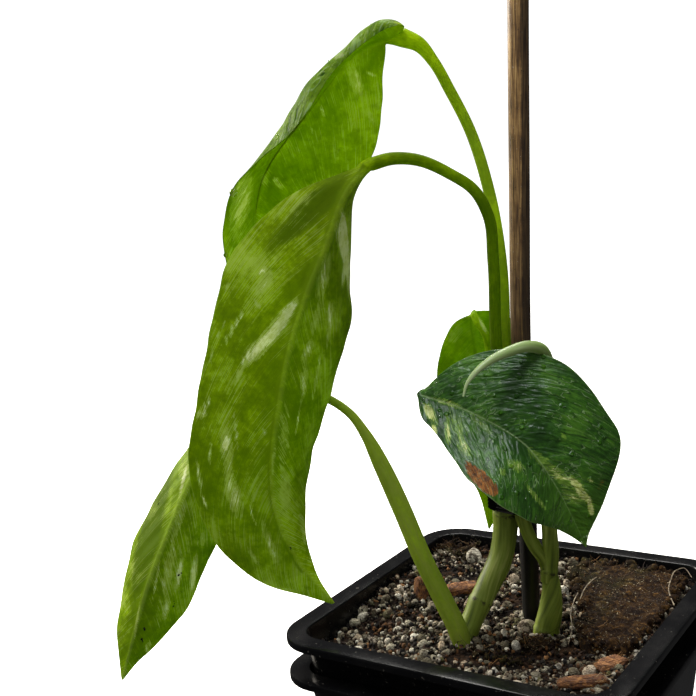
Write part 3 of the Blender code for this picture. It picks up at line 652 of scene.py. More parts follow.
def threads(starts, directions, lengths, widths, bend):
    """Short curved threads: points, faces, and for each point its thread's number."""
    count, sides, steps = len(starts), 3, 5
    directions = unit(directions)
    curl = rng.normal(size=(count, 3))
    curl -= directions * (curl * directions).sum(axis=1, keepdims=True)
    curl = unit(curl) * np.asarray(bend)
    t = np.linspace(0, 1, steps + 1)[None, :, None]
    wiggle = rng.uniform(0, 6.28, (count, 1, 1))
    path = starts[:, None] + lengths[:, None, None] * (
        directions[:, None] * t + curl[:, None] * t**2
        + 0.06 * curl[:, None] * np.sin(9 * t + wiggle))
    side = unit(np.cross(directions, curl + 1e-6))
    turns = 2 * math.pi * np.arange(sides) / sides
    thin = widths[:, None, None, None] * (1 - 0.6 * t[..., None])
    up = unit(curl)[:, None, None]
    ring = side[:, None, None] * np.cos(turns)[:, None] + up * np.sin(turns)[:, None]
    points = path[:, :, None] + ring * thin
    i = np.arange(sides)
    j = (i + 1) % sides
    quads = []
    for k in range(steps):
        a, b = k * sides, (k + 1) * sides
        quads.append(np.stack([a + i, a + j, b + j, b + i], axis=1))
    quads = np.concatenate(quads)
    size = (steps + 1) * sides
    offsets = (np.arange(count) * size)[:, None, None]
    faces = (quads[None] + offsets).reshape(-1, 4).tolist()
    ends = np.array([list(range(sides - 1, -1, -1)), list(range(size - sides, size))])
    faces += (ends[None] + offsets).reshape(-1, sides).tolist()
    return points.reshape(-1, 3), faces, np.repeat(np.arange(count), size)


# Coconut fibre: coarse, stiff, golden to dark red-brown threads, about 0.2 mm thick.
husk_fibre, add = material("coconut_fibre")
tone = add("Attribute", attribute_name="tone").outputs["Fac"]
kinds = add("ValToRGB", tone,
            stops=[(0.0, "#120a05"), (0.4, "#2c190c"), (0.75, "#4c3517"), (0.94, "#8a6236"),
                   (1.0, "#b8a078")])
add("OutputMaterial", add("BsdfPrincipled", Base_Color=kinds, Roughness=0.7, Specular_IOR_Level=0.25))
count = 1300
spots = plug_middle + (fine_outline[rng.integers(0, len(fine_outline), count)] - plug_middle) * np.sqrt(
    rng.uniform(0, 0.97, (count, 1)))
starts = np.column_stack([spots, plug_height(*spots.T) + RIM_Z - 0.25])
aims = np.column_stack([rng.normal(size=(count, 2)), rng.uniform(0.05, 0.45, count)])
lengths, widths = rng.uniform(1.0, 4.2, count), rng.uniform(0.06, 0.13, count)
points, faces, numbers = threads(starts, aims, lengths, widths, 0.35)
tones = rng.beta(1.3, 2.6, count)
plug_fibres = piece("coir_plug_fibres", points, faces, husk_fibre, smooth=80, tone=tones[numbers])
# The plug's edge crumbles into lumps of pith.
count = 230
rim = rng.integers(0, len(fine_outline), count)
spots = plug_middle + (fine_outline[rim] - plug_middle) * rng.uniform(0.86, 1.02, (count, 1))
sizes = rng.uniform(0.5, 2.2, count) * rng.uniform(0.6, 1.0, count)
places = np.column_stack([spots, np.full(count, PLUG_TOP + RIM_Z - 0.8) + sizes * 0.4])
points, faces, numbers = grains(places, sizes, pebble(2), 0.6, 0.5)
plug_lumps = piece("coir_plug_lumps", points, faces, coir, smooth=80)
for thing in (plug, plug_fibres, plug_lumps):
    stand_for(thing, "coir_plug")


# Husk chips.
# Chopped coconut husk: wedges of pressed lengthwise fibre, ginger on the cut faces, darker
# where wet, with fibres standing out of the ends. They lie loose in the mix.

CHIPS = {
    # middle (up from the rim), turn in degrees, length, breadth and height
    "husk_chip_front": ((38.6, -35.6, -3.4), 34.0, (15.0, 5.0, 2.4)),
    "husk_chip_right": ((42.0, -23.0, -3.2), 62.0, (10.5, 6.5, 2.4)),
    "husk_chip_left": ((-33.0, 1.0, -3.0), -20.0, (5.2, 3.0, 9.5)),
    "husk_chip_back": ((-23.0, 11.0, -4.0), 40.0, (14.0, 7.0, 2.8)),
}
# Cut husk: fibres 0.3 mm thick lie side by side, so the surface is combed along the chip.
cut_husk, add = material("coconut_husk_cut")
comb = add("Attribute", attribute_name="comb").outputs["Fac"]
run = add("Attribute", attribute_name="run").outputs["Fac"]
lie = add("CombineXYZ", comb, run)
strands = add("TexNoise", lie, Scale=1.0, Detail=5.0, Roughness=0.65)
spot = add("TexCoord").outputs["Object"]
damp = add("TexNoise", spot, Scale=480.0, Detail=6.0, Roughness=0.7)
share = add("Math ADD", strands, damp)
gingers = add("ValToRGB", add("Math MULTIPLY", share, 0.5),
              stops=[(0.36, "#1c0d05"), (0.45, "#4a2811"), (0.52, "#7c4c22"), (0.59, "#a8743a"),
                     (0.66, "#d0a468")])
combed = add("Bump", Height=share, Strength=1.0, Distance=0.0009)
add("OutputMaterial", add("BsdfPrincipled", Base_Color=gingers, Roughness=0.8, Normal=combed))


def chip_section(shrink, half):
    """The chip's outline at one level, straight between its six corners."""
    corners = np.array([(-1, -0.7), (0.1, -1), (1, -0.5), (0.85, 0.8), (-0.2, 1), (-0.9, 0.6)])
    corners = corners * np.array(half[:2]) * shrink
    ring = []
    for a, b in zip(corners, np.roll(corners, -1, axis=0)):
        for t in np.linspace(0, 1, 15)[:-1]:
            ring.append(a + (b - a) * t)
    return np.array(ring)


for seed, (name, (at, turn, size)) in enumerate(CHIPS.items()):
    half = [v / 2 for v in size]
    upright = size[2] > size[0]
    rings = []
    for level in np.linspace(-1, 1, 13):
        shrink = np.interp(level, (-1, 0.2, 1), (0.88, 1.0, 0.8))
        flat = chip_section(shrink * (1 - 0.12 * max(0, abs(level) - 0.85) / 0.15), half)
        rings.append(np.column_stack([flat, np.full(len(flat), level * half[2])]))
    for scale in np.linspace(0.9, 0.05, 12):
        flat = chip_section(0.8 * 0.88 * scale, half)
        rings.append(np.column_stack([flat, np.full(len(flat), half[2])]))
    points, faces = loft(rings)
    x, y, z = points.T
    lengthwise, breadth = (z, x) if upright else (x, y + 0.6 * z)
    ridge = 0.14 * np.sin(breadth * 7.0 + 0.4 * np.sin(lengthwise * 0.8 + seed))
    ridge = ridge + 0.1 * ripple(breadth * 3, lengthwise * 0.5, 40 + seed, 3.0)
    points += unit(points) * ridge[:, None]
    c, s = math.cos(math.radians(turn)), math.sin(math.radians(turn))

    def lay(local):
        x, y, z = local.T
        return np.stack([at[0] + x * c - y * s, at[1] + x * s + y * c, at[2] + z + RIM_Z], axis=1)

    chip = piece(name + "_wedge", lay(points), faces, cut_husk, smooth=50,
                 comb=breadth * 4.4, run=lengthwise * 0.8)
    count = 90
    ends = rng.choice([-1, 1], count)
    starts = np.column_stack([ends * half[0] * rng.uniform(0.3, 0.9, count),
                              rng.uniform(-0.7, 0.7, count) * half[1],
                              rng.uniform(-0.2, 0.95, count) * half[2]])
    aims = np.column_stack([ends * 1.0, rng.normal(size=count) * 0.3, rng.uniform(-0.1, 0.5, count)])
    if upright:
        starts = starts[:, [2, 1, 0]] * (half[0] / half[2], 1, half[2] / half[0])
        aims = aims[:, [2, 1, 0]]
    lengths, widths = rng.uniform(0.8, 2.6, count), rng.uniform(0.05, 0.1, count)
    hairs, faces, numbers = threads(starts, aims, lengths, widths, 0.3)
    tones = rng.uniform(0.3, 1.0, count)
    hairs = piece(name + "_fibres", lay(hairs), faces, husk_fibre, smooth=80, tone=tones[numbers])
    for thing in (chip, hairs):
        stand_for(thing, name)


# Loose debris.
# Bark dust, short fibres and dead root hairs washed together in four low heaps on the mix.

# x, y, reach along x and y, number of crumbs and of threads
HEAPS = ((-40, 42, 8, 5, 170), (16, -17, 6, 4, 120), (10, -30, 10, 3, 50), (-30, 6, 6, 6, 60))
spots = np.concatenate([rng.normal(size=(n, 2)) * (a, b) * 0.6 + (x, y) for x, y, a, b, n in HEAPS])
count = len(spots)
sizes = rng.uniform(0.35, 1.3, count)
heights = ground(spots[:, 0], spots[:, 1]) + RIM_Z
places = np.column_stack([spots, heights + rng.uniform(0.4, 2.0, count)])
points, faces, numbers = grains(places, sizes, pebble(2), 0.6, 0.35)
heap_crumbs = piece("debris_crumbs", points, faces, coir, smooth=60)
starts = np.column_stack([spots, heights + rng.uniform(0.6, 2.4, count)])
aims = np.column_stack([rng.normal(size=(count, 2)), rng.uniform(-0.1, 0.6, count)])
lengths, widths = rng.uniform(1.5, 6.0, count), rng.uniform(0.05, 0.12, count)
points, faces, numbers = threads(starts, aims, lengths, widths, 0.4)
tones = rng.beta(1.6, 2.2, count)
heap_threads = piece("debris_threads", points, faces, husk_fibre, smooth=80, tone=tones[numbers])
for thing in (heap_crumbs, heap_threads):
    stand_for(thing, "growing_mix")


# The bamboo stake.
# A thin bamboo cane, whole and dry, pushed down through the mix: brown skin with painted light,
# tan on the lamp's side, and painted shade, dark on the other side and lower down; long dark fibre
# streaks and fine specks. Its foot is blackened by damp.

PLANT_TURN = math.radians(34)


def place(points):
    """Plant positions (right, away, up from the rim) as positions in the pots' frame."""
    right, away, up = np.atleast_2d(np.asarray(points, float)).T
    c, s = math.cos(PLANT_TURN), math.sin(PLANT_TURN)
    return np.stack([right * c - away * s, right * s + away * c, up + RIM_Z], axis=1)


def blend(knots, values, at):
    """A smooth curve through values at knots, read at the places in at."""
    knots, values = np.asarray(knots, float), np.asarray(values, float)
    slopes = np.gradient(values, knots, axis=0)
    at = np.atleast_1d(at)
    k = np.clip(np.searchsorted(knots, at, side="right") - 1, 0, len(knots) - 2)
    span = knots[k + 1] - knots[k]
    t = (at - knots[k]) / span
    if values.ndim > 1:
        t, span = t[:, None], span[:, None]
    return ((2 * t**3 - 3 * t**2 + 1) * values[k] + (t**3 - 2 * t**2 + t) * span * slopes[k]
            + (3 * t**2 - 2 * t**3) * values[k + 1] + (t**3 - t**2) * span * slopes[k + 1])


def lengths_along(path):
    """The length of a path up to each of its points."""
    return np.concatenate([[0], np.cumsum(np.linalg.norm(np.diff(path, axis=0), axis=1))])


def along(points, places):
    """Points of a smooth route at fractions of its length."""
    points = np.asarray(points, float)
    chord = lengths_along(points)
    fine = blend(chord, points, np.linspace(0, chord[-1], 800))
    length = lengths_along(fine)
    want = np.asarray(places) * length[-1]
    return np.stack([np.interp(want, length, fine[:, axis]) for axis in range(3)], axis=1)


def stem(route, radii, rings, sides, shape=None):
    """A closed tube in the plant's frame; shape swells it by a share at (length mm, turn)."""
    places = np.linspace(0, 1, rings)
    path = along(route, places)
    run = lengths_along(path)
    widths = blend(np.linspace(0, 1, len(radii)), radii, places)
    turns = 2 * math.pi * np.arange(sides) / sides
    heading = unit(np.gradient(path, axis=0))
    across = np.array((1.0, 0.0, 0.0))
    out = []
    for centre, direction, width, length in zip(path, heading, widths, run):
        across = unit(across - direction * (across @ direction))
        normal = np.cross(direction, across)
        reach = width * (1 + (shape(length, turns) if shape else 0 * turns))
        outward = np.cos(turns)[:, None] * across + np.sin(turns)[:, None] * normal
        out.append(centre + outward * reach[:, None])
    points, faces = loft(out)
    length = np.repeat(run, sides)
    around = np.tile(turns, rings) * np.repeat(widths, sides)
    return place(points), faces, length, around


STAKE_ROUTE = (
    (5.4, -1, -95), (6.6, -1, -6), (7.0, -1, 25), (7.8, -1, 85),
    (9.9, -1, 135), (12.1, -1, 184), (14.6, -1, 232),
)
STAKE_RADII = (2.4, 2.6, 2.8, 3.0, 3.1, 3.1, 3.1)
STAKE_FOOT = 125.0

# Bamboo skin: silica-hard and slightly glossy, weathered dull; vessels show as streaks 0.3 mm wide.
bamboo, add = material("bamboo_skin_weathered")
length = add("Attribute", attribute_name="length").outputs["Fac"]
around = add("Attribute", attribute_name="around").outputs["Fac"]
spot = add("TexCoord").outputs["Object"]
lie = add("CombineXYZ", add("Math MULTIPLY", around, 2.2), add("Math MULTIPLY", length, 0.07))
streaks = add("TexNoise", lie, Scale=1.0, Detail=6.0, Roughness=0.62)
mottle = add("TexNoise", spot, Scale=130.0, Detail=6.0, Roughness=0.7)
browns = add("ValToRGB", add("Math MULTIPLY", add("Math MULTIPLY_ADD", mottle, 0.35, streaks), 0.74),
             stops=[(0.34, "#2a1c0d"), (0.44, "#5e4323"), (0.52, "#8c693a"), (0.62, "#b8945a")])
dots = add("TexVoronoi", spot, Scale=620.0)
dark_dots = add("MapRange", dots, 0.16, 0.06)
freckle = add("TexNoise", spot, Scale=300.0)
dotted = add("MapRange", freckle, 0.5, 0.62)
freckled = add("Math MULTIPLY", dark_dots, dotted)
dark = add("Mix RGBA", freckled, browns, "#1c150c")
pale_dots = add("TexNoise", spot, Scale=1500.0, Detail=2.0)
flecked = add("MapRange", pale_dots, 0.69, 0.76, 0, 0.6)
light = add("Mix RGBA", flecked, dark, "#c9bda2")
damp = add("MapRange", length, STAKE_FOOT + 6, STAKE_FOOT)
# Painted light and shade, fixed to the cane: tan on the side toward the left lamp, dark on the other.
bleached = add("Attribute", attribute_name="bleached").outputs["Fac"]
ragged = add("Math MULTIPLY_ADD", mottle, 0.3, bleached)
painted_shade_share = add("MapRange", ragged, 0.1, 0.02, 0, 0.74)
painted_light_and_shade = add("Mix RGBA", painted_shade_share, light, "#120c06")
# Painted shade: from 118 down to 50 mm above the foot the cane darkens, where the leaves shade it.
painted_leaf_shade = add("MapRange", length, STAKE_FOOT + 118, STAKE_FOOT + 50, 0, 0.72)
painted_light_and_shade = add("Mix RGBA", painted_leaf_shade, painted_light_and_shade, "#2a1c0d")
colour = add("Mix RGBA", damp, painted_light_and_shade, "#030302")
grain = add("Bump", Height=streaks, Strength=0.35, Distance=0.0003)
add("OutputMaterial", add("BsdfPrincipled", Base_Color=colour, Roughness=0.48, Normal=grain))


def stake_shape(length, turns):
    """Flats and ridges of the cane, and the low swelling of two nodes."""
    nodes = sum(0.05 * math.exp(-((length - at) / 1.6) ** 2) for at in (78.0, 318.0))
    return 0.018 * np.sin(3 * turns + length * 0.01) + 0.01 * np.sin(7 * turns - length * 0.015) + nodes


points, faces, length, around = stem(STAKE_ROUTE, STAKE_RADII, 160, 36, shape=stake_shape)
# The painted light and shade go round the cane by this turn: lit toward the left, shaded on the right.
turned = np.tile(2 * math.pi * np.arange(36) / 36, 160)
stake = piece("stake_bamboo", points, faces, bamboo, smooth=50, length=length, around=around,
              bleached=-np.cos(turned))
stand_for(stake, "stake")


# The canes.
# The plant's two stems: jointed, fleshy, pale olive under a thin waxy skin. Leaf scars ring
# them at the joints, where roots start as dark pimples; the right one forks above the mix.

CANE_LEFT_ROUTE = (
    (-19, -17, -25), (-18.6, -17, -14), (-17.2, -17, -6), (-13.0, -14, 1.5), (-8.0, -10.5, 9),
    (-3.1, -6.8, 16.3), (-0.9, -4.8, 23.6), (0.0, -4.0, 30), (0.4, -4.0, 37), (0.8, -4.0, 46),
)
CANE_LEFT_RADII = (2.6, 3.7, 3.5, 3.3, 3.5, 3.8, 3.8, 3.9, 3.8, 3.7)
CANE_RIGHT_ROUTE = (
    (8, -14, -25), (8.3, -14, -8), (11.0, -13, 2.5), (11.6, -12, 9), (10.4, -11, 16),
    (7.2, -10.4, 21.5), (5.0, -9.8, 27), (3.8, -9.7, 32), (3.5, -9.7, 38), (3.5, -9.7, 46),
)
CANE_RIGHT_RADII = (2.8, 3.2, 3.6, 3.7, 3.0, 2.2, 2.1, 2.1, 2.1, 2.1)
CANE_FORK_ROUTE = (
    (10.8, -11.8, 10), (12.0, -11.2, 19), (12.0, -11, 25), (11.8, -10.6, 32), (12.0, -10.2, 46),
)
CANE_FORK_RADII = (2.4, 2.5, 2.3, 2.2, 2.1)

# Stem skin: living green tissue under wax, so light sinks in a little; pale lengthwise stripes.
stem_skin, add = material("stem_skin_waxy")
length = add("Attribute", attribute_name="length").outputs["Fac"]
around = add("Attribute", attribute_name="around").outputs["Fac"]
scar = add("Attribute", attribute_name="scar").outputs["Fac"]
spot = add("TexCoord").outputs["Object"]
lie = add("CombineXYZ", add("Math MULTIPLY", around, 0.55), add("Math MULTIPLY", length, 0.035))
stripes = add("TexNoise", lie, Scale=1.0, Detail=4.0, Roughness=0.55)
greens = add("ValToRGB", stripes,
             stops=[(0.32, "#425014"), (0.47, "#5c6a1c"), (0.58, "#6e7c2a"), (0.72, "#929a50")])
spots = add("TexNoise", spot, Scale=520.0, Detail=4.0, Roughness=0.7)
blotch = add("Math ADD", spots, scar)
corked = add("MapRange", blotch, 0.98, 1.12, 0, 0.9)
colour = add("Mix RGBA", corked, greens, "#2a2412")
fuzz = add("Bump", Height=spots, Strength=0.25, Distance=0.0003)
add("OutputMaterial",
    add("BsdfPrincipled", Base_Color=colour, Roughness=0.5, Specular_IOR_Level=0.2, Normal=fuzz,
        Subsurface_Weight=0.25, Subsurface_Radius=(0.9, 1.2, 0.3), Subsurface_Scale=0.001))


def jointed(joints):
    """Swellings and a sharp little ring at each joint's place along a cane."""
    def shape(length, turns):
        swell = sum(0.09 * math.exp(-((length - at) / 2.2) ** 2)
                    - 0.06 * math.exp(-((length - at - 1.6) / 0.4) ** 2) for at in joints)
        return swell + 0.02 * np.sin(2 * turns + length * 0.11) + 0.012 * np.sin(5 * turns - length * 0.2)
    return shape


def scars(length, joints):
    """How much a leaf scar shows, at lengths along a cane."""
    return sum(0.55 * np.exp(-((length - at) / 1.5) ** 2) for at in joints)


left_joints, right_joints, fork_joints = (33.0, 62.0), (20.0, 40.0), (3.0, 22.0)
left = stem(CANE_LEFT_ROUTE, CANE_LEFT_RADII, 110, 32, shape=jointed(left_joints))
cane_left = piece("cane_left_stem", *left[:2], stem_skin, smooth=60, length=left[2],
                  around=left[3], scar=scars(left[2], left_joints))
stand_for(cane_left, "cane_left")
right = stem(CANE_RIGHT_ROUTE, CANE_RIGHT_RADII, 110, 32, shape=jointed(right_joints))
fork = stem(CANE_FORK_ROUTE, CANE_FORK_RADII, 60, 28, shape=jointed(fork_joints))
cane_right = piece("cane_right_stem", *joined([right[:2], fork[:2]]), stem_skin, smooth=60,
                   length=np.concatenate([right[2], fork[2]]),
                   around=np.concatenate([right[3], fork[3]]),
                   scar=np.concatenate([scars(right[2], right_joints), scars(fork[2], fork_joints)]))
stand_for(cane_right, "cane_right")


# The strap.
# A hook-and-loop plant tie, woven from black nylon: one ribbed band pulled round both canes and
# the stake, its cut edge showing the ribs' ends as small teeth.

STRAP_LOW, STRAP_HIGH, STRAP_THICK = 32.6, 42.3, 1.2
STRAP_CLEAR = 0.6
RIBS, RIB_DEPTH = 9, 0.18
TEETH, TOOTH_DEPTH = 72, 0.22
# Left stem, right stem and stake at the band's height: right, away, radius.
held = ((0.35, -4.0, 3.85), (3.6, -9.7, 2.1), (7.2, -1.0, 2.9))
sides = 288
turns = 2 * math.pi * np.arange(sides) / sides
facing = np.stack([np.cos(turns), np.sin(turns)], axis=1)
reach = np.array([[right * f[0] + away * f[1] + radius for right, away, radius in held] for f in facing])
best = np.array([held[k] for k in reach.argmax(axis=1)])
teeth = TOOTH_DEPTH * np.sin(turns * TEETH)
profile = []
for t in np.linspace(0, 1, RIBS * 6 + 1):
    rib = RIB_DEPTH * math.cos(2 * math.pi * RIBS * t)
    profile.append((STRAP_CLEAR + STRAP_THICK - RIB_DEPTH + rib, t))
edge = STRAP_CLEAR + STRAP_THICK * 0.4
profile += [(edge, 1.0), (STRAP_CLEAR, 0.98), (STRAP_CLEAR, 0.02), (edge, 0.0)]
rings = []
for out, t in profile:
    outward = best[:, 2] + out + (teeth if out > edge else 0)
    up = STRAP_LOW + (STRAP_HIGH - STRAP_LOW) * t
    rings.append(place(np.column_stack([best[:, :2] + facing * outward[:, None], np.full(sides, up)])))
points, faces = loft(rings + [rings[0]], capped=False)
start = len(points) - sides
faces = [[i - start if i >= start else i for i in face] for face in faces]
# Nylon hook-and-loop tape: napped loops drink the light; the ribs are 1.3 mm apart.
nylon_loop, add = material("nylon_hook_and_loop_woven")
spot = add("TexCoord").outputs["Object"]
nap = add("TexNoise", spot, Scale=2200.0, Detail=3.0)
blacks = add("ValToRGB", nap, stops=[(0.35, "#030303"), (0.65, "#0c0c0d")])
loops = add("Bump", Height=nap, Strength=0.8, Distance=0.0003)
add("OutputMaterial",
    add("BsdfPrincipled", Base_Color=blacks, Roughness=0.85, Specular_IOR_Level=0.15, Normal=loops))
strap = piece("strap_band", points[:start], faces, nylon_loop, smooth=35)
stand_for(strap, "strap")


# The fine roots.
# Three thin pale roots of the plant, grown out over the coir plug and the mix and dried there.

ROOTS = (
    ((49.4, -10.9, -1.4), (50.5, -1.7, -0.5), (53.7, 6.8, -0.4), (57.7, 13.8, -0.2),
     (60.7, 15.8, -0.6), (61.6, 10.3, -1.8)),
    ((22.9, 4.7, -1.6), (20.0, -2.8, -1.0), (17.2, -11.5, -1.6), (15.8, -20.0, -2.2),
     (13.1, -27.2, -3.6)),
    ((22.7, 0.7, -2.0), (25.4, 5.9, -0.8), (28.9, 11.1, -0.4), (31.8, 16.6, -1.6)),
)
root_skin, add = material("root_skin_dried")
spot = add("TexCoord").outputs["Object"]
grime = add("TexNoise", spot, Scale=700.0, Detail=3.0)
tans = add("ValToRGB", grime, stops=[(0.35, "#3a2e20"), (0.55, "#746650"), (0.7, "#9c8f74")])
add("OutputMaterial", add("BsdfPrincipled", Base_Color=tans, Roughness=0.7))
bodies = [stem(route, (0.19, 0.16, 0.19, 0.15, 0.11), 90, 10)[:2] for route in ROOTS]
roots = piece("fine_roots", *joined(bodies), root_skin, smooth=60)
stand_for(roots, "coir_plug")
